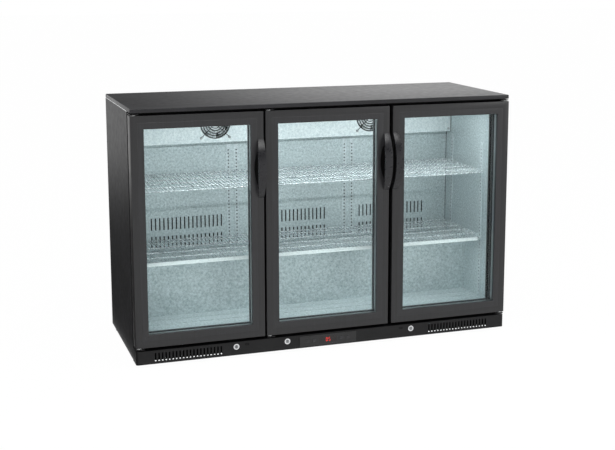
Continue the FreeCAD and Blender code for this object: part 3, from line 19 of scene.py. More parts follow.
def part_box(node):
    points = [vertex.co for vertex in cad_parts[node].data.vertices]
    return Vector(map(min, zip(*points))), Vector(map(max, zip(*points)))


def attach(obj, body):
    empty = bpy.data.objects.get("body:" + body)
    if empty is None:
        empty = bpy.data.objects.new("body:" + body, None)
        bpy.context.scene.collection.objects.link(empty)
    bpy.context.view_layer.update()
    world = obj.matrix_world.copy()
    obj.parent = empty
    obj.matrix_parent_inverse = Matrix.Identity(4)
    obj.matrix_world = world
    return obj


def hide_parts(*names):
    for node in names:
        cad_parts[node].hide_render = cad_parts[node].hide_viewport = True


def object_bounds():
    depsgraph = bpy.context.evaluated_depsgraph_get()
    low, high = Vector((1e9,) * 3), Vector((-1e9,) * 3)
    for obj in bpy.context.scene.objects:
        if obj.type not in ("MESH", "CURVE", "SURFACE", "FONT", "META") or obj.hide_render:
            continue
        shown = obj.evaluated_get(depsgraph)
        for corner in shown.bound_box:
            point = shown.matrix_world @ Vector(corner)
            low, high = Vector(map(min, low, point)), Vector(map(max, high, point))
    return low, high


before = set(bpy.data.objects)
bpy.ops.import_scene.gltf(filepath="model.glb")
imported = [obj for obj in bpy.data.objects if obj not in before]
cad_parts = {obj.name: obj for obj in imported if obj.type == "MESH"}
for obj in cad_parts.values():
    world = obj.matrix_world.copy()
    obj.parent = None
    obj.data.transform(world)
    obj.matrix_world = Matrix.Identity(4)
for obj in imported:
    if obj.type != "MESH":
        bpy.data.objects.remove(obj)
CAD_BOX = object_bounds()

MM = 0.001
NOISE_LOW, NOISE_HIGH = 0.3, 0.7
SMOOTH_ANGLE = math.radians(32)
LOG = logging.getLogger("cooler")
SIDES = ("left", "centre", "right")

Item = bpy.types.Object
Tree = bpy.types.NodeTree
Node = bpy.types.Node
Socket = bpy.types.NodeSocket
Face = bmesh.types.BMFace
Setting = float | int | str | bool | Sequence[float]


class Body(Enum):
    """The bodies of the frame that new pieces ride on."""

    CABINET = "cabinet"
    DOOR_LEFT = "door_left"
    DOOR_CENTRE = "door_centre"
    DOOR_RIGHT = "door_right"


class Hand(Enum):
    """The side of a door that its hinge pins are on."""

    LEFT = 1
    RIGHT = -1


# ---------------------------------------------------------------- colour and nodes
def linear(code: str) -> tuple[float, float, float, float]:
    """Turn an sRGB hex colour into a linear one.

    Args:
        code: Six hex digits, such as "38383a".

    Returns:
        Red, green, blue and an alpha of one.
    """
    parts = [int(code[i : i + 2], 16) / 255 for i in (0, 2, 4)]
    red, green, blue = [c / 12.92 if c <= 0.04045 else ((c + 0.055) / 1.055) ** 2.4 for c in parts]
    return (red, green, blue, 1.0)


def add_node(
    tree: Tree,
    kind: str,
    settings: dict[str | int, Setting] | None = None,
    links: dict[str | int, Socket] | None = None,
) -> Node:
    """Add one shader node with its settings and its links.

    Args:
        tree: The tree that gets the node.
        kind: The node's type after "ShaderNode", such as "TexNoise".
        settings: Values of properties and of unlinked inputs, by name or number.
        links: Output sockets to join to inputs, by the input's name or number.

    Returns:
        The new node.
    """
    made = tree.nodes.new("ShaderNode" + kind)
    for key, content in (settings or {}).items():
        if isinstance(key, str) and key not in made.inputs:
            setattr(made, key, content)
        else:
            made.inputs[key].default_value = content
    for key, socket in (links or {}).items():
        tree.links.new(socket, made.inputs[key])
    return made


def compute(
    tree: Tree,
    operation: str,
    first: Socket | float,
    second: Socket | float,
) -> Socket:
    """Work out one sum on two sockets or numbers.

    Args:
        tree: The tree that gets the node.
        operation: The node's operation, such as "MULTIPLY".
        first: The first term.
        second: The second term.

    Returns:
        The result's socket.
    """
    settings: dict[str | int, Setting] = {"operation": operation}
    links = {}
    for place, term in enumerate((first, second)):
        if isinstance(term, Socket):
            links[place] = term
        else:
            settings[place] = term
    return add_node(tree, "Math", settings, links).outputs[0]


def empty_tree(owner: bpy.types.Material | bpy.types.World) -> Tree:
    """Return the node tree of a material or a world, with nothing in it."""
    owner.use_nodes = True
    owner.node_tree.nodes.clear()
    return owner.node_tree


# ---------------------------------------------------------------- finishes
@dataclass(frozen=True)
class Grain:
    """Noise whose grains are of a real size."""

    width: float
    detail: float = 2.0
    stretch: tuple[float, float, float] = (1.0, 1.0, 1.0)

    def lay(self, tree: Tree) -> Socket:
        """Return the noise value on the object's own coordinates.

        Args:
            tree: The material's node tree.

        Returns:
            The noise value's socket.
        """
        turn = add_node(tree, "Mapping", {"Scale": self.stretch}, {"Vector": place(tree)})
        settings = {"Scale": 1 / (self.width * MM), "Detail": self.detail}
        return add_node(tree, "TexNoise", settings, {"Vector": turn.outputs[0]}).outputs[0]


def place(tree: Tree) -> Socket:
    """Return the object coordinates, in metres."""
    return add_node(tree, "TexCoord").outputs["Object"]


def axis(tree: Tree, number: int) -> Socket:
    """Return one object coordinate, in metres."""
    return add_node(tree, "SeparateXYZ", None, {0: place(tree)}).outputs[number]


def between(
    tree: Tree, level: Socket, low: float = 0.0, high: float = 1.0
) -> Socket:
    """Return a level from 0.3 to 0.7 spread over a range of values.

    Args:
        tree: The material's node tree.
        level: The noise value.
        low: Value at a low level.
        high: Value at a high level.

    Returns:
        The spread value's socket.
    """
    settings = {"From Min": NOISE_LOW, "From Max": NOISE_HIGH, "To Min": low, "To Max": high}
    return add_node(tree, "MapRange", settings, {"Value": level}).outputs[0]


def blend(
    tree: Tree,
    level: Socket,
    first: str | Socket,
    second: str,
) -> Socket:
    """Return a colour that goes from one colour to another.

    Args:
        tree: The material's node tree.
        level: How much of the second colour shows, from 0 to 1.
        first: Hex colour, or colour socket, at 0.
        second: Hex colour at 1.

    Returns:
        The colour's socket.
    """
    made = add_node(tree, "Mix", {"data_type": "RGBA", 7: linear(second)}, {0: level})
    if isinstance(first, str):
        made.inputs[6].default_value = linear(first)
    else:
        tree.links.new(first, made.inputs[6])
    return made.outputs[2]


@dataclass(frozen=True)
class Finish:
    """A surface finish: a drifting tone, an uneven gloss and a fine relief."""

    name: str
    dark: str = "161617"
    light: str = "1e1e20"
    tone: Grain = Grain(90.0)
    haze: Grain = Grain(24.0)
    relief: Grain = Grain(1.2)
    roughness: float = 0.4
    duller: float = 0.04
    glossier: float = 0.04
    depth: float = 0.03
    metallic: float = 0.0
    ior: float | None = None
    shine: float = 0.5

    def shade(self, tree: Tree, skin: Node) -> None:
        """Set up the Principled node.

        Args:
            tree: The material's node tree.
            skin: Its Principled node.
        """
        level = between(tree, self.tone.lay(tree))
        tree.links.new(self.colour(tree, level), skin.inputs["Base Color"])
        low, high = self.roughness - self.glossier, self.roughness + self.duller
        if low < high:
            tree.links.new(between(tree, self.haze.lay(tree), low, high), skin.inputs["Roughness"])
        else:
            skin.inputs["Roughness"].default_value = low
        skin.inputs["Metallic"].default_value = self.metallic
        skin.inputs["Specular IOR Level"].default_value = self.shine
        if self.ior is not None:
            skin.inputs["IOR"].default_value = self.ior
        settings = {"Strength": 1.0, "Distance": self.depth * MM}
        bump = add_node(tree, "Bump", settings, {"Height": self.height(tree)})
        tree.links.new(bump.outputs[0], skin.inputs["Normal"])

    def colour(self, tree: Tree, level: Socket) -> Socket:
        """Return the colour at each level of tone."""
        return blend(tree, level, self.dark, self.light)

    def height(self, tree: Tree) -> Socket:
        """Return the height of the relief, from 0 to 1."""
        return self.relief.lay(tree)

    def material(self) -> bpy.types.Material:
        """Return the material of this finish, made the first time that it is asked for."""
        found = bpy.data.materials.get(self.name)
        if found is not None:
            return found
        made = bpy.data.materials.new(self.name)
        self.fill(empty_tree(made))
        return made

    def fill(self, tree: Tree) -> None:
        """Fill an empty tree with a Principled node, set up by shade."""
        skin = add_node(tree, "BsdfPrincipled")
        add_node(tree, "OutputMaterial", links={"Surface": skin.outputs[0]})
        self.shade(tree, skin)


@dataclass(frozen=True)
class PowderCoat(Finish):
    """Polyester powder coat, sprayed and baked on sheet steel: satin, with a fine orange peel."""

    relief: Grain = Grain(1.6, 3.0)
    glossier: float = 0.03
    depth: float = 0.012
    ior: float | None = 1.5


@dataclass(frozen=True)
class MouldedPlastic(Finish):
    """ABS moulded in a spark-eroded tool: flow marks, and a grain that scatters highlights."""

    tone: Grain = Grain(60.0, 2.0, (1.0, 1.0, 0.35))
    haze: Grain = Grain(9.0)
    relief: Grain = Grain(0.9)
    duller: float = 0.05
    glossier: float = 0.05
    ior: float | None = 1.5


@dataclass(frozen=True)
class ExtrudedProfile(Finish):
    """Rigid vinyl, drawn through a die into door profile: long faint streaks in a satin skin."""

    dark: str = "171718"
    light: str = "1e1e21"
    tone: Grain = Grain(2.4, 2.0, (1.0, 1.0, 0.02))
    haze: Grain = Grain(35.0)
    relief: Grain = Grain(1.2, 3.0)
    depth: float = 0.02
    ior: float | None = 1.5


@dataclass(frozen=True)
class StuccoAluminium(Finish):
    """Aluminium sheet, rolled with a stucco emboss: bright pebbles that break up reflections.

    The real pebbles are about 2 mm across. They are drawn a little coarser so that they show.
    """

    dark: str = "a0acaf"
    light: str = "ced7d9"
    tone: Grain = Grain(6.9, 3.0)
    haze: Grain = Grain(40.0)
    relief: Grain = Grain(3.22, 3.0)
    roughness: float = 0.42
    duller: float = 0.06
    glossier: float = 0.05
    depth: float = 0.25
    metallic: float = 0.6
    pebble: float = 4.6
    # Near-black painted shade for the sheet inside the air duct, behind duct_line and below duct_roof,
    # where the duct lies in shade.
    duct_painted_shade: str = "17191a"
    duct_line: float = 1.0
    duct_roof: float = 0.69

    def colour(self, tree: Tree, level: Socket) -> Socket:
        """Return the colour of the sheet, with near-black painted shade where it is inside the air duct."""
        behind = compute(tree, "GREATER_THAN", axis(tree, 1), self.duct_line)
        below = compute(tree, "LESS_THAN", axis(tree, 2), self.duct_roof)
        sheet = super().colour(tree, level)
        return blend(tree, compute(tree, "MULTIPLY", behind, below), sheet, self.duct_painted_shade)

    def height(self, tree: Tree) -> Socket:
        """Return the height of the pebbles."""
        settings = {"Scale": 1 / (self.pebble * MM), "feature": "SMOOTH_F1"}
        cells = add_node(tree, "TexVoronoi", settings, {"Vector": place(tree)}).outputs[0]
        return compute(tree, "MULTIPLY", cells, self.relief.lay(tree))


@dataclass(frozen=True)
class BareMetal(Finish):
    """Plain metal, rolled, drawn or plated: fine grain, patches of tone and cloudy gloss."""

    tone: Grain = Grain(9.6)
    haze: Grain = Grain(1.2, 3.0)
    relief: Grain = Grain(1.2, 3.0)
    duller: float = 0.08
    glossier: float = 0.06
    depth: float = 0.02
    metallic: float = 1.0


@dataclass(frozen=True)
class SleevedCopper(Finish):
    """Drawn copper tube, pulled through black foam sleeve where it climbs the duct."""

    dark: str = "b06a48"
    light: str = "cf8a63"
    tone: Grain = Grain(18.0, 3.0)
    sleeve: str = "111112"
    sleeve_from: float = 0.258

    def foam(self, tree: Tree) -> Socket:
        """Return one where the foam is and zero below it."""
        return compute(tree, "GREATER_THAN", axis(tree, 2), self.sleeve_from)

    def colour(self, tree: Tree, level: Socket) -> Socket:
        """Return tarnished copper low down and black foam above."""
        return blend(tree, self.foam(tree), super().colour(tree, level), self.sleeve)

    def shade(self, tree: Tree, skin: Node) -> None:
        """Set up the Principled node: bright metal low down and matt foam above."""
        super().shade(tree, skin)
        foam = self.foam(tree)
        gloss = add_node(tree, "MapRange", {"To Min": 0.3, "To Max": 0.9}, {"Value": foam})
        tree.links.new(compute(tree, "SUBTRACT", 1.0, foam), skin.inputs["Metallic"])
        tree.links.new(gloss.outputs[0], skin.inputs["Roughness"])


@dataclass(frozen=True)
class CoatedWire(Finish):
    """Steel wire, dipped in polyethylene: a pale skin that pools a little at the welds."""

    dark: str = "b0b7ba"
    light: str = "dce1e3"
    tone: Grain = Grain(7.0)
    haze: Grain = Grain(7.0)
    relief: Grain = Grain(7.0)
    roughness: float = 0.24
    duller: float = 0.08
    glossier: float = 0.06
    depth: float = 0.12
    metallic: float = 0.4


@dataclass(frozen=True)
class SoftVinyl(Finish):
    """Flexible vinyl, extruded: matt, with a bloom of paler dust in its hollows."""

    dark: str = "0c0c0d"
    light: str = "161617"
    tone: Grain = Grain(14.0, 3.0)
    haze: Grain = Grain(14.0, 3.0)
    relief: Grain = Grain(0.8)
    roughness: float = 0.62
    duller: float = 0.1
    glossier: float = 0.08
    ior: float | None = 1.52


@dataclass(frozen=True)
class RigidFoam(Finish):
    """Polyurethane foam, foamed in place: cream coloured, with open cells where it is cut."""

    dark: str = "c9bf95"
    light: str = "e3dcba"
    tone: Grain = Grain(45.0)
    roughness: float = 0.85
    duller: float = 0.0
    glossier: float = 0.0
    depth: float = 0.3
    cell: float = 1.1

    def height(self, tree: Tree) -> Socket:
        """Return the height of the cell walls."""
        settings = {"Scale": 1 / (self.cell * MM)}
        return add_node(tree, "TexVoronoi", settings, {"Vector": place(tree)}).outputs[0]


@dataclass(frozen=True)
class LampCover(Finish):
    """Opal polycarbonate over light diodes: milky, lit from inside, brightest at each diode."""

    dark: str = "dfeaee"
    light: str = "f4f9fb"
    diode_pitch: float = 16.0
    wave_share: float = 3.18
    glow: float = 2.2

    def shade(self, tree: Tree, skin: Node) -> None:
        """Give the shader a glow that beats along the strip."""
        turn = add_node(tree, "Mapping", {"Scale": (1.0, 0.0, 0.0)}, {"Vector": place(tree)})
        settings = {"Scale": 1 / (self.diode_pitch * MM) / self.wave_share, "bands_direction": "X"}
        wave = add_node(tree, "TexWave", settings, {"Vector": turn.outputs[0]}).outputs[1]
        tone = self.colour(tree, wave)
        tree.links.new(tone, skin.inputs["Base Color"])
        tree.links.new(tone, skin.inputs["Emission Color"])
        skin.inputs["Emission Strength"].default_value = self.glow
        skin.inputs["Roughness"].default_value = self.roughness


@dataclass(frozen=True)
class LitSegment(Finish):
    """A light diode bar behind a smoked window: a plain glow with a brighter core."""

    dark: str = "c81a12"
    light: str = "ff2a1c"
    tone: Grain = Grain(1.5)
    roughness: float = 0.3
    unlit: str = "3a0805"
    glow: float = 1.6

    def shade(self, tree: Tree, skin: Node) -> None:
        """Give the shader its glow, a little uneven along each bar."""
        level = between(tree, self.tone.lay(tree))
        tree.links.new(self.colour(tree, level), skin.inputs["Emission Color"])
        skin.inputs["Base Color"].default_value = linear(self.unlit)
        skin.inputs["Emission Strength"].default_value = self.glow
        skin.inputs["Roughness"].default_value = self.roughness


@dataclass(frozen=True)
class PaneGlass(Finish):
    """Float glass, tempered: clear, with a reflection that grows at an angle."""

    light: str = "fbfdfd"
    haze: Grain = Grain(120.0, 3.0)
    least: float = 0.006
    most: float = 0.9
    steepness: float = 5.0
    film: tuple[float, float] = (0.01, 0.05)

    def fill(self, tree: Tree) -> None:
        """Fill the tree with thin glass: what is behind shows unbent, and lamps shine through."""
        clear = add_node(tree, "BsdfTransparent", {"Color": linear(self.light)})
        film = between(tree, self.haze.lay(tree), *self.film)
        shine = add_node(tree, "BsdfGlossy", {"Color": linear("ffffff")}, {"Roughness": film})
        facing = add_node(tree, "LayerWeight", {"Blend": 0.5}).outputs["Facing"]
        steep = compute(tree, "POWER", facing, self.steepness)
        share = add_node(tree, "MapRange", {"To Min": self.least, "To Max": self.most}, {"Value": steep})
        both = add_node(
            tree, "MixShader", None, {0: share.outputs[0], 1: clear.outputs[0], 2: shine.outputs[0]}
        )
        add_node(tree, "OutputMaterial", links={"Surface": both.outputs[0]})


BLACK_STEEL = PowderCoat("powder_coated_steel", "19191a", "212123", roughness=0.4, shine=0.16)
TOP_STEEL = PowderCoat("powder_coated_top", "19191b", "212124", roughness=0.32, shine=0.3)
PLINTH_STEEL = PowderCoat("powder_coated_plinth", "0d0d0e", "131314", roughness=0.42, shine=0.25)
DOOR_FIELD = ExtrudedProfile("door_profile_vinyl")
# A darker copy of the door vinyl: painted shade on the outer band of each frame.
DOOR_BAND_SHADE = ExtrudedProfile("door_profile_band", "131314", "19191b", roughness=0.36)
HANDLE_ABS = MouldedPlastic("handle_abs", "161618", "1d1d20", roughness=0.3, depth=0.01, shine=0.34)
# Near-black with almost no gloss: painted shade behind the handles, and the kick panel's own black plugs.
BLACK_PLUG_AND_SHADE = MouldedPlastic("black_abs_and_painted_shade", "030303", "060606", roughness=0.7, shine=0.05)
BLACK_ABS = MouldedPlastic("black_abs", "0d0d0e", "131314", roughness=0.4)
GUARD_PLASTIC = MouldedPlastic("guard_nylon", "050505", "090909", roughness=0.5, shine=0.15)
FRAME_PLASTIC = MouldedPlastic("fan_frame_polyamide", "b4babc", "cdd2d4", roughness=0.5)
FAN_PLASTIC = MouldedPlastic("fan_polyamide", "101011", "18181a", roughness=0.45)
KEY_PLASTIC = MouldedPlastic("key_rubber", "1c1c1e", "242427", roughness=0.55)
GREY_PLASTIC = MouldedPlastic("terminal_box_abs", "5b5e60", "6a6d70", roughness=0.5)
TRAY_PLASTIC = MouldedPlastic("tray_polypropylene", "b9bdbd", "cfd2d2", roughness=0.38)
FOOT_NYLON = MouldedPlastic("foot_nylon", "0f0f10", "17171a", roughness=0.5)
LINER = StuccoAluminium("stucco_aluminium", duct_line=0.2035)
COVER = StuccoAluminium("coated_fan_cover", "cfd9dc", "eef3f4", depth=0.2, roughness=0.5)
# Near-white bare metal: painted highlight at the louvres' feet and under the top's side edges.
PAINTED_HIGHLIGHT = BareMetal("painted_highlight_edge", "e4e6e8", "f6f7f8", roughness=0.5, metallic=0.2)
PLUG = BareMetal("lock_plug_steel", "7e8082", "949698", roughness=0.3)
NYLON = MouldedPlastic("hinge_bush_nylon", "d6d8d8", "e8eaea", roughness=0.45)
ZINC = BareMetal("zinc_plated_steel", "9fa3a5", "c6c9ca", roughness=0.34)
STANDARD = BareMetal("galvanised_strip", "aab3b6", "c9d1d4", roughness=0.45, metallic=0.4)
SPACER = BareMetal("spacer_bar", "232628", "303436", roughness=0.45)
CHROME = BareMetal("chrome_plate", "d3d4d6", "e6e7e8", roughness=0.12, depth=0.004)
BLADE = BareMetal("pressed_blades", "c4cacc", "e0e5e7", roughness=0.5, metallic=0.2)
FINS = BareMetal("fin_aluminium", "a9adaf", "c8cbcd", roughness=0.35)
COPPER = SleevedCopper("sleeved_copper")
WIRE = CoatedWire("coated_wire")
LABEL_STRIP = CoatedWire("label_strip_vinyl", "dadfe0", "eef1f1", roughness=0.4, metallic=0.0)
# Dark vinyl tones: real sealant in the panel beads, and painted shade behind the shelf standards.
SEALANT_AND_SHADE = SoftVinyl("sealant_and_painted_shade", "1b1e1f", "24282a")
GASKET = SoftVinyl("gasket_vinyl")
FOAM = RigidFoam("polyurethane_foam")
LAMP = LampCover("opal_lamp_cover")
GLASS = PaneGlass("pane_glass")
ENAMEL = PowderCoat("compressor_enamel", "050505", "0a0a0a", roughness=0.25, relief=Grain(3.0, 3.0))
SMOKED = MouldedPlastic("smoked_window", "0a0606", "100909", roughness=0.12, depth=0.002)
DIGIT = LitSegment("red_segment")


# ---------------------------------------------------------------- hand tools
def deselect() -> None:
    """Leave nothing selected, in object mode."""
    if bpy.context.object is not None and bpy.context.object.mode != "OBJECT":
        bpy.ops.object.mode_set(mode="OBJECT")
    bpy.ops.object.select_all(action="DESELECT")


def take(*items: Item) -> Item:
    """Select only these objects and make the first one active.

    Args:
        items: The objects to select.

    Returns:
        The first object.
    """
    deselect()
    for item in items:
        item.select_set(True)
    bpy.context.view_layer.objects.active = items[0]
    return items[0]


@contextmanager
def editing(item: Item, kind: str = "FACE") -> Iterator[bmesh.types.BMesh]:
    """Hold an object in edit mode with nothing selected.

    Args:
        item: The object to edit.
        kind: What is selected: "VERT", "EDGE" or "FACE".

    Yields:
        The mesh under edit.
    """
    take(item)
    bpy.ops.object.mode_set(mode="EDIT")
    bpy.ops.mesh.select_mode(type=kind)
    bpy.ops.mesh.select_all(action="DESELECT")
    yield bmesh.from_edit_mesh(item.data)
    bpy.ops.object.mode_set(mode="OBJECT")


def pick(item: Item, test: Callable[..., bool], kind: str = "FACE") -> int:
    """Select the faces, edges or vertices that pass a test, and nothing else.

    Args:
        item: The object in edit mode.
        test: Gets one element and says whether it is wanted.
        kind: What is tested: "VERT", "EDGE" or "FACE".

    Returns:
        How many were selected.
    """
    bpy.ops.mesh.select_mode(type=kind)
    bpy.ops.mesh.select_all(action="DESELECT")
    mesh = bmesh.from_edit_mesh(item.data)
    table = {"VERT": mesh.verts, "EDGE": mesh.edges, "FACE": mesh.faces}[kind]
    count = 0
    for element in table:
        if test(element):
            element.select_set(True)
            count += 1
    mesh.select_flush_mode()
    bmesh.update_edit_mesh(item.data)
    return count


def inset(thick: float, depth: float = 0.0, **settings: Setting) -> None:
    """Inset the selected faces and push them out, both in millimetres."""
    bpy.ops.mesh.inset(thickness=thick * MM, depth=depth * MM, **settings)


def facing(way: Sequence[float], least: float = 0.9) -> Callable[[Face], bool]:
    """Return a test for faces that look one way."""
    aim = Vector(way)
    return lambda face: face.normal.dot(aim) > least


def settle() -> Item:
    """Move the active object's place, turn and size into its mesh, and return it."""
    bpy.ops.object.transform_apply(location=True, rotation=True, scale=True)
    return bpy.context.object


def add_block(low: Sequence[float], high: Sequence[float]) -> Item:
    """Add a block between two corners, in metres.

    Args:
        low: Its lowest corner.
        high: Its highest corner.

    Returns:
        The block, with its place in its mesh.
    """
    deselect()
    low, high = Vector(low), Vector(high)
    bpy.ops.mesh.primitive_cube_add(size=1.0, location=(low + high) / 2)
    bpy.context.object.scale = high - low
    return settle()


def add_rod(start: Sequence[float], end: Sequence[float], radius: float, sides: int = 8) -> Item:
    """Add a closed round rod between two points, in metres.

    Args:
        start: Centre of one end.
        end: Centre of the other.
        radius: Radius of the rod.
        sides: Faces round it.

    Returns:
        The rod, with its place in its mesh.
    """
    deselect()
    start, end = Vector(start), Vector(end)
    run = end - start
    turn = run.to_track_quat("Z", "Y").to_euler()
    bpy.ops.mesh.primitive_cylinder_add(
        vertices=sides, radius=radius, depth=run.length, location=(start + end) / 2, rotation=turn
    )
    return settle()


def add_ring(centre: Sequence[float], radius: float, wire: float, steps: int = 48) -> Item:
    """Add a wire ring that faces the front.

    Args:
        centre: Its centre, in metres.
        radius: Radius of the wire's middle line.
        wire: Radius of the wire.
        steps: Faces round the ring.

    Returns:
        The ring, with its place in its mesh.
    """
    deselect()
    bpy.ops.mesh.primitive_torus_add(
        major_radius=radius, minor_radius=wire, major_segments=steps, minor_segments=8,
        location=centre, rotation=(math.pi / 2, 0, 0),
    )
    return settle()


def copy_of(item: Item, shift: Sequence[float]) -> Item:
    """Return a copy with a mesh of its own, moved by a shift in metres."""
    made = item.copy()
    made.data = item.data.copy()
    made.data.transform(Matrix.Translation(Vector(shift)))
    bpy.context.scene.collection.objects.link(made)
    return made


def join(items: Sequence[Item]) -> Item:
    """Join objects into the first one."""
    made = take(*items)
    if len(items) > 1:
        bpy.ops.object.join()
    return made


def modify(item: Item, kind: str, **settings: Setting) -> Item:
    """Add a modifier, set it and apply it.

    Args:
        item: The object to change.
        kind: The modifier's type, such as "BEVEL".
        settings: Its properties.

    Returns:
        The same object.
    """
    take(item)
    made = item.modifiers.new(kind.lower(), kind)
    for key, content in settings.items():
        setattr(made, key, content)
    bpy.ops.object.modifier_apply(modifier=made.name)
    return item


def soften(item: Item, width: float, segments: int = 2, angle: float = 35.0) -> Item:
    """Round the sharp edges of a piece.

    Args:
        item: The piece.
        width: Width of the rounding in millimetres.
        segments: Faces across it.
        angle: Edges sharper than this many degrees are rounded.

    Returns:
        The same piece.
    """
    return modify(
        item, "BEVEL", width=width * MM, segments=segments, limit_method="ANGLE",
        angle_limit=math.radians(angle), use_clamp_overlap=True,
    )


def finish_piece(
    item: Item,
    name: str,
    finishes: Sequence[Finish],
    replaced: Sequence[str] = (),
    body: Body = Body.CABINET,
) -> Item:
    """Name a finished piece, dress it and put it on its body.

    Args:
        item: The piece.
        name: Its name.
        finishes: Its finishes, in the order of its material slots.
        replaced: Nodes of the frame that it stands for.
        body: The body that it rides on.

    Returns:
        The same piece.
    """
    item.name = name
    item.data.name = name
    for number, finish in enumerate(finishes):
        if number < len(item.data.materials):
            item.data.materials[number] = finish.material()
        else:
            item.data.materials.append(finish.material())
    take(item)
    bpy.ops.object.shade_smooth_by_angle(angle=SMOOTH_ANGLE)
    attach(item, body.value)
    if replaced:
        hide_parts(*replaced)
    LOG.info("%s: %d faces on %s", name, len(item.data.polygons), body.value)
    return item


def dress(names: dict[Finish, Sequence[str]]) -> None:
    """Give nodes of the frame their finishes.

    Args:
        names: The names of the nodes that get each finish.
    """
    for finish, nodes in names.items():
        for name in nodes:
            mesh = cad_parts[name].data
            mesh.materials.clear()
            mesh.materials.append(finish.material())
            LOG.info("%s: dressed in %s", name, finish.name)


# ---------------------------------------------------------------- doors
@dataclass
class Door:
    """One glass door: its moulded frame, its panes, its seal and its bowed handle."""

    side: str
    hand: Hand
    bar: float = 44.0
    band: float = 22.0
    groove: float = 0.7
    step: float = 1.2
    edge_round: float = 1.6
    glass_recess: float = 9.0
    glass_depth: float = 20.0
    channel: float = 9.5
    glass_clearance: float = 0.5
    handle_height: float = 200.0
    handle_width: float = 19.0
    handle_belly: float = 9.0
    handle_reach: float = 36.0
    handle_thickness: float = 8.0
    handle_drop: float = 91.0
    handle_steps: int = 40
    handle_round: float = 2.2
    overrun: float = 1.2
    scoop_height: float = 185.0
    scoop_reach: float = 32.0
    scoop_skin: float = 1.5
    scoop_steps: int = 128
    cam_reach: float = 38.0
    cam_width: float = 12.0
    cam_thickness: float = 3.0
    cam_room: float = 4.0
    bush_radius: float = 7.5
    bush_inset: float = 12.0
    bush_height: float = 4.0
    body: Body = field(init=False)

    def __post_init__(self) -> None:
        """Find the body that this door's pieces ride on."""
        self.body = Body("door_" + self.side)

    def node(self, piece: str) -> str:
        """Return the name of one of this door's nodes."""
        return "door_%s_%s" % (self.side, piece)

    def finish(
        self, item: Item, piece: str, finishes: Sequence[Finish], slot: str, stands_for: str = ""
    ) -> Item:
        """Finish one of this door's pieces.

        Args:
            item: The piece.
            piece: The last part of its name.
            finishes: Its finishes.
            slot: Its material slot; not used.
            stands_for: The last part of the name of the node that it replaces.

        Returns:
            The same piece.
        """
        replaced = [self.node(stands_for)] if stands_for else []
        return finish_piece(item, self.node(piece), finishes, replaced, self.body)

    def build(self) -> None:
        """Make and dress every piece of this door."""
        self.make_frame()
        self.make_handle()
        self.make_scoop()
        self.make_bushes()
        dress({
            GLASS: [self.node("panes")],
            SPACER: [self.node("spacer")],
            GASKET: [self.node("gasket")],
        })

    def make_frame(self) -> Item:
        """Make the frame from one block: its bands, its opening and the channel for the glass."""
        low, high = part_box(self.node("frame"))
        item = add_block(low, high)
        with editing(item):
            pick(item, facing((0, 1, 0)))
            inset(self.bar)
            pick(item, facing((0, -1, 0)))
            inset(self.band)
            inset(self.groove, -self.groove)
            inset(self.groove, self.groove)
            rest = self.bar - self.band - 2 * self.groove - self.step
            inset(rest)
            inset(self.step, -self.step)
            bpy.ops.mesh.delete(type="ONLY_FACE")
            reach = ((high.x - low.x) / 2 - (self.bar + 5) * MM) / 2
            middle = (low + high) / 2

            def plug(face: Face) -> bool:
                """Say whether a face fills the opening from behind."""
                away = face.calc_center_median() - middle
                return face.normal.y > 0.9 and max(abs(away.x), abs(away.z)) < reach

            pick(item, plug)
            bpy.ops.mesh.delete(type="ONLY_FACE")
            pick(item, lambda edge: len(edge.link_faces) == 1, "EDGE")
            bpy.ops.mesh.bridge_edge_loops()
            self.cut_channel(item, low, high)
        # The outer band gets the darker copy of the vinyl, painted shade; the rest gets the plain vinyl.
        item.data.materials.append(DOOR_BAND_SHADE.material())
        item.data.materials.append(DOOR_FIELD.material())
        for face in item.data.polygons:
            in_band = self.depth_in(face.center, low, high) < self.band * MM
            face.material_index = 0 if in_band else 1
        soften(item, self.edge_round, 3)
        self.cut_cam_slot(item, low)
        return self.finish(item, "profile", (DOOR_BAND_SHADE, DOOR_FIELD), "door_profile", "frame")

    @staticmethod
    def depth_in(spot: Vector, low: Vector, high: Vector) -> float:
        """Return how far a place is from the nearest outer edge of the frame."""
        return min(spot.x - low.x, high.x - spot.x, spot.z - low.z, high.z - spot.z)

    def cut_cam_slot(self, item: Item, low: Vector) -> None:
        """Cut the slot in the bottom rail that the lock's cam turns into.

        Args:
            item: The door frame.
            low: Its lowest corner.
        """
        plug_low, plug_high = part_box("lock_plug_" + self.side)
        room, reach = self.cam_room * MM, self.cam_reach * MM
        axis = Vector((plug_high.x - reach, 0, (plug_low.z + plug_high.z) / 2))
        near = plug_high.y - self.cam_thickness * MM - room / 2
        cutter = add_block((axis.x - self.cam_width * 0.75 * MM, near, low.z - MM),
                           (axis.x + reach, plug_high.y + room / 2, axis.z + reach + room))
        modify(item, "BOOLEAN", operation="DIFFERENCE", object=cutter, solver="EXACT")
        bpy.data.objects.remove(cutter)

    def cut_channel(self, item: Item, low: Vector, high: Vector) -> None:
        """Cut the channel that holds the glass into the walls of the opening.

        Args:
            item: The door frame, in edit mode.
            low: Its lowest corner.
            high: Its highest corner.
        """
        front = low.y + (self.glass_recess - self.glass_clearance) * MM
        back = front + (self.glass_depth + 2 * self.glass_clearance) * MM
        edge = self.bar * MM - 1e-5

        def wall(face: Face) -> bool:
            """Say whether a face is a wall of the opening."""
            inside = self.depth_in(face.calc_center_median(), low, high) > edge
            return inside and abs(face.normal.y) < 0.1

        for depth in (front, back):
            pick(item, wall)
            bpy.ops.mesh.bisect(plane_co=(0, depth, 0), plane_no=(0, 1, 0))
        pick(item, lambda face: wall(face) and front < face.calc_center_median().y < back)
        bpy.ops.mesh.extrude_region_shrink_fatten(
            TRANSFORM_OT_shrink_fatten={"value": -self.channel * MM, "use_even_offset": True}
        )

    def free_edge(self) -> tuple[float, int]:
        """Return the x of the door's free edge and the sign of the way into the door."""
        low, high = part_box(self.node("frame"))
        return (high.x, -1) if self.hand is Hand.LEFT else (low.x, 1)

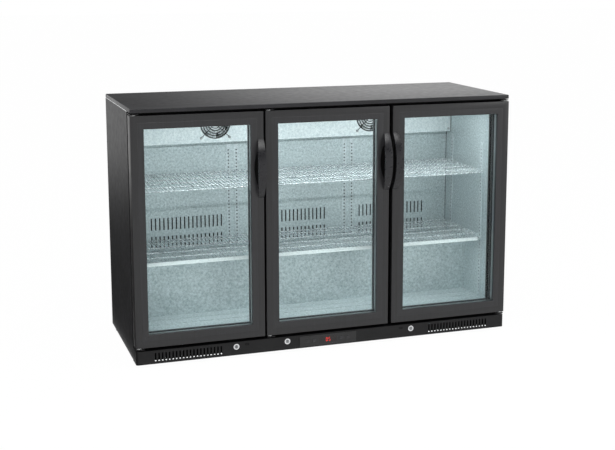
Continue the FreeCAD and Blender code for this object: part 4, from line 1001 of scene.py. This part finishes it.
    def make_handle(self) -> Item:
        """Make the bowed handle: a bar spun along an arc, cut at the door and widened in its middle."""
        low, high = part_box(self.node("frame"))
        edge, way = self.free_edge()
        front = low.y
        half = self.handle_height / 2 * MM
        reach = self.handle_reach * MM
        middle = high.z - self.handle_drop * MM - half
        radius = (half**2 + reach**2) / (2 * reach)
        sweep = 2 * math.asin(half / radius) * self.overrun
        centre = Vector((0, front - reach + radius, middle))
        thick = self.handle_thickness * MM
        sides = sorted((edge, edge + way * self.handle_width * MM))
        item = add_block(
            (sides[0], centre.y - radius, middle - MM), (sides[1], centre.y - radius + thick, middle + MM)
        )
        with editing(item) as mesh:
            pick(item, lambda face: abs(face.normal.z) < 0.5 or face.normal.z < -0.5)
            bpy.ops.mesh.delete(type="FACE")
            for corner in bmesh.from_edit_mesh(item.data).verts:
                corner.co.z = middle
            bpy.ops.mesh.select_all(action="SELECT")
            turn = Matrix.Rotation(-sweep / 2, 4, "X")
            shift = Matrix.Translation(centre) @ turn @ Matrix.Translation(-centre)
            bmesh.ops.transform(mesh, matrix=shift, verts=list(bmesh.from_edit_mesh(item.data).verts))
            bpy.ops.mesh.spin(steps=self.handle_steps, angle=-sweep, center=centre, axis=(1, 0, 0))
            bpy.ops.mesh.select_all(action="SELECT")
            bpy.ops.mesh.normals_make_consistent(inside=False)
            bpy.ops.mesh.bisect(plane_co=(0, front, 0), plane_no=(0, 1, 0), use_fill=True, clear_outer=True)
            inner = edge + way * self.handle_width * MM
            for corner in bmesh.from_edit_mesh(item.data).verts:
                if abs(corner.co.x - inner) < MM:
                    share = max(0.0, 1 - ((corner.co.z - middle) / half) ** 2)
                    corner.co.x += way * self.handle_belly * MM * share
            bmesh.update_edit_mesh(item.data)
        soften(item, self.handle_round, 3)
        return self.finish(item, "pull", (HANDLE_ABS,), "black_plastic", "handle")

    def make_scoop(self) -> Item:
        """Make the dark plate behind the handle, painted shade for the hollow under the bow: a slice of a
        disc, dished by an inset.
        """
        low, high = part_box(self.node("frame"))
        edge, way = self.free_edge()
        half = self.scoop_height / 2 * MM
        reach = (self.scoop_reach - 1) * MM
        middle = high.z - (self.handle_drop + self.handle_height / 2) * MM
        radius = (half**2 + reach**2) / (2 * reach)
        start = edge + way * MM
        centre = Vector((start + way * (reach - radius), low.y, middle))
        deselect()
        bpy.ops.mesh.primitive_circle_add(
            vertices=self.scoop_steps, radius=radius, fill_type="NGON", location=centre,
            rotation=(math.pi / 2, 0, 0),
        )
        item = settle()
        with editing(item):
            bpy.ops.mesh.select_all(action="SELECT")
            bpy.ops.mesh.bisect(plane_co=(start, 0, 0), plane_no=(1, 0, 0))
            pick(item, lambda face: (face.calc_center_median().x - start) * way < 0)
            bpy.ops.mesh.delete(type="FACE")
            bpy.ops.mesh.select_all(action="SELECT")
            bpy.ops.mesh.remove_doubles(threshold=2.0 * MM)
            bpy.ops.mesh.extrude_region_move(
                TRANSFORM_OT_translate={"value": (0, -self.scoop_skin * MM, 0)}
            )
            bpy.ops.mesh.select_all(action="SELECT")
            bpy.ops.mesh.normals_make_consistent(inside=False)
            pick(item, facing((0, -1, 0)))
            inset(1.0, use_even_offset=False)
            inset(2.0, -1.0, use_even_offset=False)
        # The plate's near-black colour is painted shade.
        return self.finish(item, "scoop", (BLACK_PLUG_AND_SHADE,), "black_plastic", "handle")

    def make_bushes(self) -> Item:
        """Make the nylon bushes that the door turns on, each a collar with a rounded flange."""
        low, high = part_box(self.node("frame"))
        x = low.x + self.bush_inset * MM if self.hand is Hand.LEFT else high.x - self.bush_inset * MM
        y = low.y + self.bush_inset * MM
        parts = []
        for z, way in ((low.z, -1), (high.z, 1)):
            end = z + way * self.bush_height * MM
            collar = add_rod((x, y, z), (x, y, end), self.bush_radius * MM, 24)
            with editing(collar):
                pick(collar, facing((0, 0, way)))
                inset(2.0)
                inset(0.2, -1.0)
            parts.append(soften(collar, 0.6, 2, 50.0))
        return self.finish(join(parts), "bushes", (NYLON,), "foot_nylon")


# ---------------------------------------------------------------- shelves
@dataclass
class Shelves:
    """One level of lift-out wire shelves, one in each bay."""

    level: str
    with_strip: bool
    wire: float = 3.0
    rod: float = 5.0
    wire_pitch: float = 13.7
    rod_pitch: float = 71.0
    side_gap: float = 4.0
    strip_height: float = 12.5
    strip_skin: float = 1.6
    strip_inset: float = 18.0

    def node(self) -> str:
        """Return the name of the node that holds this level's shelves."""
        return self.level + "_shelves"

    def spans(self) -> dict[str, tuple[float, float]]:
        """Return the left and right edge of each bay's shelf, by the bay's name."""
        low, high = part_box(self.node())
        left, centre, right = (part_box("door_%s_frame" % side) for side in SIDES)
        lines = ((left[1].x + centre[0].x) / 2, (centre[1].x + right[0].x) / 2)
        gap = self.side_gap * MM
        return {
            "left": (low.x, lines[0] - gap),
            "centre": (lines[0] + gap, lines[1] - gap),
            "right": (lines[1] + gap, high.x),
        }

    def build(self) -> None:
        """Make the three shelves of this level."""
        low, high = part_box(self.node())
        for bay, (left, right) in self.spans().items():
            self.make_shelf(bay, left, right, low, high)

    def make_shelf(self, bay: str, left: float, right: float, low: Vector, high: Vector) -> Item:
        """Make one shelf: wires running back, on round cross rods, with rounded wire ends.

        Args:
            bay: Name of the bay.
            left: Left edge, in metres.
            right: Right edge, in metres.
            low: Lowest corner of the level.
            high: Highest corner of the level.

        Returns:
            The shelf.
        """
        wire, rod = self.wire * MM, self.rod * MM
        front = low.y + (self.strip_skin * MM if self.with_strip else 0.0)
        top = high.z
        count = max(2, round((right - left) / (self.wire_pitch * MM)))
        step = (right - left - wire) / count
        x, z = left + wire / 2, top - wire / 2
        strand = add_rod((x, front, z), (x, high.y, z), wire / 2)
        soften(strand, 0.6, 1)
        parts = [strand] + [copy_of(strand, (step * number, 0, 0)) for number in range(1, count + 1)]
        rod_z = top - wire - rod / 2
        bar = add_rod((left, front + rod / 2, rod_z), (right, front + rod / 2, rod_z), rod / 2, 10)
        soften(bar, 0.8, 1)
        depth = high.y - front
        pitch = self.rod_pitch * MM
        stations = [pitch * number for number in range(1, int(depth / pitch) + 1)]
        parts.append(bar)
        parts += [copy_of(bar, (0, station, 0)) for station in stations + [depth - rod]]
        if self.with_strip:
            margin = self.strip_inset * MM
            foot = top - wire - self.strip_height * MM
            strip = add_block((left + margin, low.y, foot), (right - margin, front, top - wire))
            with editing(strip):
                pick(strip, facing((0, -1, 0)))
                inset(1.4)
                inset(0.4, -0.5)
            finish_piece(soften(strip, 0.4, 2), "label_strip_" + bay, (LABEL_STRIP,),
                         [self.node()])
        item = join(parts)
        name = "%s_shelf_%s" % (self.level, bay)
        return finish_piece(item, name, (WIRE,), [self.node()])


# ---------------------------------------------------------------- inside
@dataclass
class Interior:
    """The lined inside: its sheet walls, its fan cover and guards, its lamp and its standards."""

    guard_rings: int = 6
    guard_wire: float = 1.6
    guard_rim: float = 1.8
    fan_bore: float = 56.0
    fan_spread: float = 300.0
    screw_pitch: float = 105.0
    screw_head: float = 4.5
    screw_rise: float = 2.6
    standard_width: float = 16.0
    standard_offset: float = 15.0
    side_standards: tuple[float, float] = (-108.0, 145.0)
    # The dark strips and plugs at the standards are painted shade for their holes.
    shade_backing: float = 0.35
    standard_hole: float = 5.0
    hole_play: float = 0.15
    shade_plug_depth: float = 1.6
    bead: float = 1.8
    shade_backing_width: float = 8.0

    def build(self) -> None:
        """Make the fan guards and dress what is inside."""
        self.make_guards()
        self.make_hole_shades()
        self.make_beads()
        dress({
            LINER: ["inner_liner", "rear_duct_panel"],
            COVER: ["evaporator_cover"],
            FRAME_PLASTIC: ["evaporator_fan_frames"],
            BLADE: ["evaporator_fan_rotor_left", "evaporator_fan_rotor_right"],
            FINS: ["evaporator_coil"],
            TRAY_PLASTIC: ["evaporator_drip_tray"],
            STANDARD: ["shelf_standards", "shelf_clips"],
            LAMP: ["light_strip"],
            FOAM: ["insulation"],
        })

    def make_guards(self) -> None:
        """Make both wire guards: rings on two crossed arms, with a screw at the end of each arm."""
        low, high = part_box("evaporator_fan_guards")
        wire, rim, bore = self.guard_wire * MM, self.guard_rim * MM, self.fan_bore * MM
        line = high.y - rim
        height = (low.z + high.z) / 2
        half = self.screw_pitch / 2 * MM
        for name, side in (("left", -1), ("right", 1)):
            centre = Vector((side * self.fan_spread * MM, line, height))
            parts = [add_ring(centre, bore - rim, rim, 64)]
            for number in range(1, self.guard_rings):
                radius = (bore - rim) * number / self.guard_rings
                parts.append(add_ring(centre, radius, wire, 24 + 6 * number))
            behind = centre + Vector((0, wire * 0.5, 0))
            for slope in (-1, 1):
                reach = Vector((half, 0, slope * half))
                parts.append(soften(add_rod(behind - reach, behind + reach, wire * 0.7), 0.2, 1))
                parts += [self.make_screw(behind + reach * end) for end in (-1, 1)]
            finish_piece(join(parts), "fan_guard_" + name, (GUARD_PLASTIC,),
                         ["evaporator_fan_guards"])

    def make_hole_shades(self) -> Item:
        """Make the painted shade behind each shelf standard: a dark strip, and a dark plug in each hole,
        that stand for the shade inside the holes.
        """
        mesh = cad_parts["shelf_standards"].data
        low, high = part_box("shelf_standards")
        bays = Shelves("upper", False).spans()
        lines = ((bays["left"][1] + bays["centre"][0]) / 2, (bays["centre"][1] + bays["right"][0]) / 2)
        near = self.standard_width / 2 * MM + MM
        hole = self.standard_hole / 2 * MM
        skin, half = self.shade_backing * MM, self.shade_backing_width / 2 * MM
        spots = [(Vector((line + way * self.standard_offset * MM, high.y, 0)), Vector((half, skin, 0)))
                 for line in lines for way in (-1, 1)]
        spots += [(Vector((x, y * MM, 0)), Vector((skin, half, 0)))
                  for x in (low.x, high.x) for y in self.side_standards]
        parts = []
        for spot, reach in spots:
            heights = [v.co.z for v in mesh.vertices
                       if abs(v.co.x - spot.x) < near and abs(v.co.y - spot.y) < near]
            if not heights:
                LOG.warning("no standard at %s", spot)
                continue
            inwards = Vector((-math.copysign(1, spot.x), 0, 0)) if reach.x < reach.y else Vector((0, -1, 0))
            centre = spot + inwards * skin * 1.6
            shade_backing = add_block(centre - reach + Vector((0, 0, min(heights) + MM)),
                             centre + reach + Vector((0, 0, max(heights) - MM)))
            parts.append(soften(shade_backing, 0.1, 1))
            side = Vector((abs(inwards.y), abs(inwards.x), 0))
            holes = sorted({round(v.co.z, 5) for v in mesh.vertices
                            if abs((v.co - spot).dot(side)) < hole * 1.1
                            and abs((v.co - spot).dot(inwards)) < near})
            for bottom, top in zip(holes[0::2], holes[1::2]):
                if top - bottom > hole * 2.2:
                    LOG.warning("no hole between %s and %s", bottom, top)
                    continue
                play = self.hole_play * MM
                ends = (spot + inwards * skin, spot + inwards * self.shade_plug_depth * MM)
                foot = Vector(map(min, *ends)) - side * (hole - play)
                head = Vector(map(max, *ends)) + side * (hole - play)
                foot.z, head.z = bottom + play, top - play
                # A dark plug in the hole: painted shade.
                parts.append(add_block(foot, head))
        return finish_piece(join(parts), "standard_hole_shades", (SEALANT_AND_SHADE,))

    def make_beads(self) -> Item:
        """Make the dark beads of sealant down the ends of the rear duct panel and of the cover."""
        thick = self.bead * MM
        parts = []
        for name in ("rear_duct_panel", "evaporator_cover"):
            low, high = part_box(name)
            for end, way in ((low.x, 1), (high.x, -1)):
                ends = sorted((end, end + way * thick))
                bead = add_block(
                    (ends[0], low.y - thick / 2, low.z), (ends[1], low.y + thick / 2, high.z)
                )
                parts.append(soften(bead, 0.3, 1))
        return finish_piece(join(parts), "panel_beads", (SEALANT_AND_SHADE,))

    def make_screw(self, spot: Vector) -> Item:
        """Make one pan-head screw, with a round socket, that faces the front.

        Args:
            spot: Middle of the head.

        Returns:
            The screw.
        """
        half = Vector((0, self.screw_rise / 2 * MM, 0))
        item = add_rod(spot + half, spot - half, self.screw_head * MM, 16)
        with editing(item):
            pick(item, facing((0, -1, 0)))
            inset(2.6)
            inset(0.2, -1.2)
        return soften(item, 0.7, 2, 50.0)


# ---------------------------------------------------------------- plinth
SEGMENTS = {
    "0": "abcdef", "1": "bc", "2": "abged", "3": "abgcd", "4": "fgbc",
    "5": "afgcd", "6": "afgecd", "7": "abc", "8": "abcdefg", "9": "abcdfg",
}


@dataclass
class Plinth:
    """The kick panel with its louvres' painted highlights, locks and controller."""

    reading: str = "05"
    digit_height: float = 12.0
    digit_width: float = 6.5
    digit_gap: float = 3.0
    bar: float = 1.4
    louvre_width: float = 5.0
    louvre_height: float = 28.0
    louvre_pitch: float = 11.8
    louvre_count: int = 20
    left_inset: float = 62.0
    right_inset: float = 70.0
    lip: float = 3.2
    keeper_shift: float = 38.0
    keeper_rise: float = 5.0
    keeper_width: float = 12.0
    keeper_height: float = 6.0

    def build(self) -> None:
        """Make the small pieces of the plinth and dress the rest."""
        self.make_lip_highlights()
        self.make_keepers()
        self.make_digits()
        dress({
            PLINTH_STEEL: ["kick_panel"],
            CHROME: ["lock_barrels"],
            PLUG: ["lock_plug_" + side for side in SIDES],
            BLACK_ABS: ["controller_housing"],
            SMOKED: ["controller_display"],
            KEY_PLASTIC: ["controller_%s_key" % name for name in ("light", "defrost", "down", "up")],
        })

    def make_lip_highlights(self) -> Item:
        """Make the pale lips at the foot of the louvres: painted highlight, for light that shows through
        the bottom of each slot.
        """
        low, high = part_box("kick_panel")
        foot = (low.z + high.z - self.louvre_height * MM) / 2
        width, lip = self.louvre_width * MM, self.lip * MM
        start = low.x + self.left_inset * MM
        mirror = high.x - self.right_inset * MM - width
        shifts = []
        for number in range(self.louvre_count):
            shift = self.louvre_pitch * MM * number
            shifts += [shift, mirror - shift - start]
        first = add_block(
            (start, low.y + 0.2 * MM, foot), (start + width, low.y + 1.5 * MM, foot + lip)
        )
        with editing(first):
            pick(first, lambda v: v.co.z > foot + lip / 2 and v.co.y > low.y + MM, "VERT")
            bpy.ops.transform.translate(value=(0, 1.5 * MM, 0))
        soften(first, 0.3, 1)
        items = [first] + [copy_of(first, (shift, 0, 0)) for shift in shifts[1:]]
        return finish_piece(join(items), "louvre_lip_highlights", (PAINTED_HIGHLIGHT,))

    def make_keepers(self) -> Item:
        """Make the small black plugs beside the outer locks, each a pressed-in dish with a rim."""
        low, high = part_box("lock_barrels")
        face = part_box("kick_panel")[0].y
        radius = (high.z - low.z) / 2
        middle = (low.z + high.z) / 2 + self.keeper_rise * MM
        parts = []
        for x in (low.x + radius + self.keeper_shift * MM, high.x - radius - self.keeper_shift * MM):
            half = Vector((self.keeper_width / 2, 0, self.keeper_height / 2)) * MM
            spot = Vector((x, face, middle))
            proud, sunk = Vector((0, 0.8 * MM, 0)), Vector((0, 0.4 * MM, 0))
            block = add_block(spot - half - proud, spot + half + sunk)
            with editing(block):
                pick(block, facing((0, -1, 0)))
                inset(0.8)
                inset(0.3, -0.9)
            parts.append(soften(block, 0.3, 1))
        return finish_piece(join(parts), "kick_plugs", (BLACK_PLUG_AND_SHADE,))

    def make_digits(self) -> Item:
        """Make the reading from light bars: six-sided bars laid out as two digits."""
        low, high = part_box("controller_display")
        tall, wide, bar = self.digit_height * MM, self.digit_width * MM, self.bar * MM
        face = low.y - 0.15 * MM
        middle = (low + high) / 2
        total = len(self.reading) * wide + (len(self.reading) - 1) * self.digit_gap * MM
        parts = []
        for place, digit in enumerate(self.reading):
            left = middle.x - total / 2 + place * (wide + self.digit_gap * MM)
            foot = middle.z - tall / 2
            rows = {"a": foot + tall, "g": foot + tall / 2, "d": foot}
            for code in SEGMENTS[digit]:
                if code in rows:
                    corner = (left + bar, face, rows[code] - bar / 2)
                    size = (wide - 2 * bar, 0.3 * MM, bar)
                else:
                    x = left if code in "fe" else left + wide - bar
                    z = foot + (tall / 2 if code in "fb" else 0.0)
                    corner = (x, face, z + bar / 2)
                    size = (bar, 0.3 * MM, tall / 2 - bar)
                block = add_block(corner, [c + s for c, s in zip(corner, size)])
                parts.append(soften(block, 0.25, 1))
        return finish_piece(join(parts), "display_reading", (DIGIT,))


# ---------------------------------------------------------------- cabinet
@dataclass
class Cabinet:
    """The outer case: panels, frame, hinges, feet and the machine compartment."""

    top_round: float = 3.0
    highlight_height: float = 3.0

    def build(self) -> None:
        """Make the top and the painted highlights under its side edges, and dress the rest of the case."""
        self.make_top()
        self.make_edge_highlights()
        dress({
            BLACK_STEEL: ["side_panel_left", "side_panel_right", "back_panel", "condenser_fan_frame",
                          "rear_grille"],
            PLINTH_STEEL: ["base_pan", "front_frame", "hinge_brackets"],
            FOOT_NYLON: ["levelling_feet"],
            ZINC: ["hinge_pins", "panel_screws"],
            ENAMEL: ["compressor"],
            FINS: ["condenser"],
            FAN_PLASTIC: ["condenser_fan_rotor"],
            TRAY_PLASTIC: ["condensate_tray"],
            COPPER: ["refrigerant_pipes"],
            GREY_PLASTIC: ["mains_terminal_box"],
        })

    def make_top(self) -> Item:
        """Make the top: a folded sheet with rounded edges and a hem turned in under it."""
        low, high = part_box("top_panel")
        item = add_block(low, high)
        with editing(item):
            pick(item, facing((0, 0, -1)))
            inset(12.0)
            inset(0.5, -0.8)
        soften(item, self.top_round, 4, 60.0)
        return finish_piece(item, "worktop", (TOP_STEEL,), ["top_panel"])

    def make_edge_highlights(self) -> Item:
        """Make the pale strips between the top and each side: painted highlight for the rounded lower edge
        of the top.
        """
        parts = []
        for name, way in (("side_panel_left", 1), ("side_panel_right", -1)):
            low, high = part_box(name)
            outer = low.x if way > 0 else high.x
            sides = sorted((outer + way * 0.2 * MM, outer + way * 5.0 * MM))
            top = high.z + self.highlight_height * MM
            edge = add_block((sides[0], low.y + MM, high.z), (sides[1], high.y - 4 * MM, top))
            parts.append(soften(edge, 0.3, 1))
        return finish_piece(join(parts), "top_edge_highlights", (PAINTED_HIGHLIGHT,))


# ---------------------------------------------------------------- studio
@dataclass
class Studio:
    """Floor, white surroundings, soft lamps and the camera. Lengths here are metres."""

    floor_size: float = 60.0
    floor_tone: str = "ffffff"
    matt_tone: str = "f4f4f4"
    whiteness: float = 0.98
    fill: float = 0.75
    flag_line: float = 2.2
    strip_lamp: float = 0.016
    camera_spot: tuple[float, float, float] = (-1.3042, -3.9634, 1.3100)
    camera_azimuth: float = -18.906
    camera_elevation: float = 9.722
    lens: float = 69.062
    shift: tuple[float, float] = (-0.0239, -0.09)

    def build(self) -> None:
        """Set up everything round the cooler."""
        self.make_floor()
        self.make_world()
        self.make_lamps()
        self.make_flags()
        self.make_camera()
        bpy.context.scene.view_settings.view_transform = "Standard"
        bpy.context.scene.cycles.transparent_max_bounces = 24

    @staticmethod
    def seen(tree: Tree) -> Socket:
        """Return one for rays that the eye follows: seen, mirrored or let through."""
        path = add_node(tree, "LightPath").outputs
        direct = compute(tree, "MAXIMUM", path["Is Camera Ray"], path["Is Glossy Ray"])
        return compute(tree, "MAXIMUM", direct, path["Is Transmission Ray"])

    def make_floor(self) -> None:
        """Lay a pale floor that keeps the cooler's shadow and blends into white."""
        deselect()
        bpy.ops.mesh.primitive_plane_add(size=self.floor_size)
        item = bpy.context.object
        item.name = "studio_floor"
        made = bpy.data.materials.new("pale_floor")
        tree = empty_tree(made)
        matt = add_node(tree, "BsdfDiffuse", {"Color": linear(self.matt_tone)})
        white = add_node(tree, "Emission", {"Color": linear(self.floor_tone), "Strength": 1.0})
        share = compute(tree, "MULTIPLY", self.seen(tree), self.whiteness)
        both = add_node(tree, "MixShader", None, {0: share, 1: matt.outputs[0], 2: white.outputs[0]})
        add_node(tree, "OutputMaterial", links={"Surface": both.outputs[0]})
        item.data.materials.append(made)

    def make_world(self) -> None:
        """Make surroundings that look white and light the cooler more softly."""
        world = bpy.data.worlds.new("white_studio")
        bpy.context.scene.world = world
        tree = empty_tree(world)
        soft, white = (
            add_node(tree, "Background", {"Color": linear("ffffff"), "Strength": strength})
            for strength in (self.fill, 1.0)
        )
        both = add_node(
            tree, "MixShader", None, {0: self.seen(tree), 1: soft.outputs[0], 2: white.outputs[0]}
        )
        add_node(tree, "OutputWorld", links={"Surface": both.outputs[0]})

    def add_lamp(self, name: str, spot: Sequence[float], aim: Sequence[float], size: Sequence[float],
                 power: float) -> Item:
        """Add one rectangular lamp.

        Args:
            name: The lamp's name.
            spot: Its place.
            aim: The point that it faces.
            size: Its two sides.
            power: Its power in watts.

        Returns:
            The lamp.
        """
        lamp = bpy.data.lights.new(name, "AREA")
        lamp.shape = "RECTANGLE"
        lamp.size, lamp.size_y = size
        lamp.energy = power
        item = bpy.data.objects.new(name, lamp)
        item.location = spot
        way = Vector(aim) - Vector(spot)
        item.rotation_mode = "QUATERNION"
        item.rotation_quaternion = way.to_track_quat("-Z", "Y")
        bpy.context.scene.collection.objects.link(item)
        return item

    def make_lamps(self) -> None:
        """Hang the soft lamps and the cooler's own light behind its lamp cover."""
        low, high = CAD_BOX
        middle = (low + high) / 2
        self.add_lamp("key", (-2.4, -2.6, 3.0), middle, (2.0, 2.0), 52.0)
        self.add_lamp("top_front", (0.1, -1.6, 2.7), (0.0, 0.0, 0.2), (2.6, 0.8), 34.0)
        self.add_lamp("fill_right", (3.0, -2.0, 1.6), middle, (1.6, 1.6), 24.0)
        lamp_low, lamp_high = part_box("light_strip")
        centre = (lamp_low + lamp_high) / 2
        roof = Vector((centre.x, centre.y, lamp_low.z - 0.002))
        under = Vector((centre.x, centre.y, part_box("lower_shelves")[0].z - 0.02))
        long = lamp_high.x - lamp_low.x
        inner_lamps = (
            ("inner_light", roof, (0.0, 0.12, -1.0), long, 5.6),
            ("inner_wash", roof, (0.0, 0.6, -0.5), 0.8, 0.7),
            ("inner_floor", under, (0.0, -0.1, -1.0), long, 1.2),
        )
        for name, spot, aim, width, power in inner_lamps:
            inner = self.add_lamp(name, spot, spot + Vector(aim), (width, self.strip_lamp), power)
            inner.visible_camera = False
            inner.visible_glossy = False

    def make_flags(self) -> None:
        """Stand dark flags round the cooler, which only its own gloss mirrors."""
        back, thin = self.flag_line, 0.003
        flags = (
            ("floor", (-4.0, -0.4, thin), (-0.69, back, thin), (0, (-4.0, 0.05), (-0.69, 0.05))),
            ("left", (-4.0, back, 0.0), (-0.72, back, 2.4), (2, (0.02, 0.1), (0.46, 0.9))),
            ("rear", (-0.72, back, 0.0), (5.0, back, 2.4), (0, (-0.55, 0.1), (1.35, 1.0))),
            ("front", (-4.0, -4.2, 1.9), (4.0, -4.2, 5.2), (0, (-4.0, 0.02), (4.0, 0.02))),
        )
        for name, low, high, fade in flags:
            self.add_flag("flag_" + name, low, high, fade)

    def add_flag(self, name: str, low: Sequence[float], high: Sequence[float],
                 fade: tuple[int, tuple[float, float], tuple[float, float]]) -> Item:
        """Add one flat flag that shows in gloss alone and fades from one brightness to another.

        Args:
            name: The flag's name.
            low: Its lowest corner.
            high: Its highest corner.
            fade: The axis that it fades along, then a place and brightness at each end.

        Returns:
            The flag.
        """
        item = add_block(low, [h + 0.002 for h in high])
        item.name = name
        number, start, end = fade
        made = bpy.data.materials.new(name)
        tree = empty_tree(made)
        settings = {"From Min": start[0], "From Max": end[0], "To Min": start[1], "To Max": end[1],
                    "interpolation_type": "SMOOTHSTEP"}
        level = add_node(tree, "MapRange", settings, {"Value": axis(tree, number)}).outputs[0]
        glow = add_node(tree, "Emission", {"Color": linear("ffffff")}, {"Strength": level})
        add_node(tree, "OutputMaterial", links={"Surface": glow.outputs[0]})
        item.data.materials.append(made)
        item.visible_camera = item.visible_diffuse = item.visible_transmission = False
        item.visible_shadow = item.visible_volume_scatter = False
        return item

    def make_camera(self) -> None:
        """Set the camera."""
        camera = bpy.data.cameras.new("camera")
        camera.lens = self.lens
        camera.shift_x, camera.shift_y = self.shift
        item = bpy.data.objects.new("camera", camera)
        turn, rise = math.radians(self.camera_azimuth), math.radians(self.camera_elevation)
        back = Vector((math.sin(turn) * math.cos(rise), -math.cos(turn) * math.cos(rise), math.sin(rise)))
        item.location = self.camera_spot
        item.rotation_mode = "QUATERNION"
        item.rotation_quaternion = (-back).to_track_quat("-Z", "Y")
        bpy.context.scene.collection.objects.link(item)
        bpy.context.scene.camera = item


def main() -> None:
    """Build the scene in order, from the studio to the smallest pieces."""
    logging.basicConfig(level=logging.INFO, format="%(message)s")
    Studio().build()
    Cabinet().build()
    Interior().build()
    Shelves("upper", False).build()
    Shelves("lower", True).build()
    for side, hand in (("left", Hand.LEFT), ("centre", Hand.LEFT), ("right", Hand.RIGHT)):
        Door(side, hand).build()
    Plinth().build()


if __name__ == "__main__":
    main()
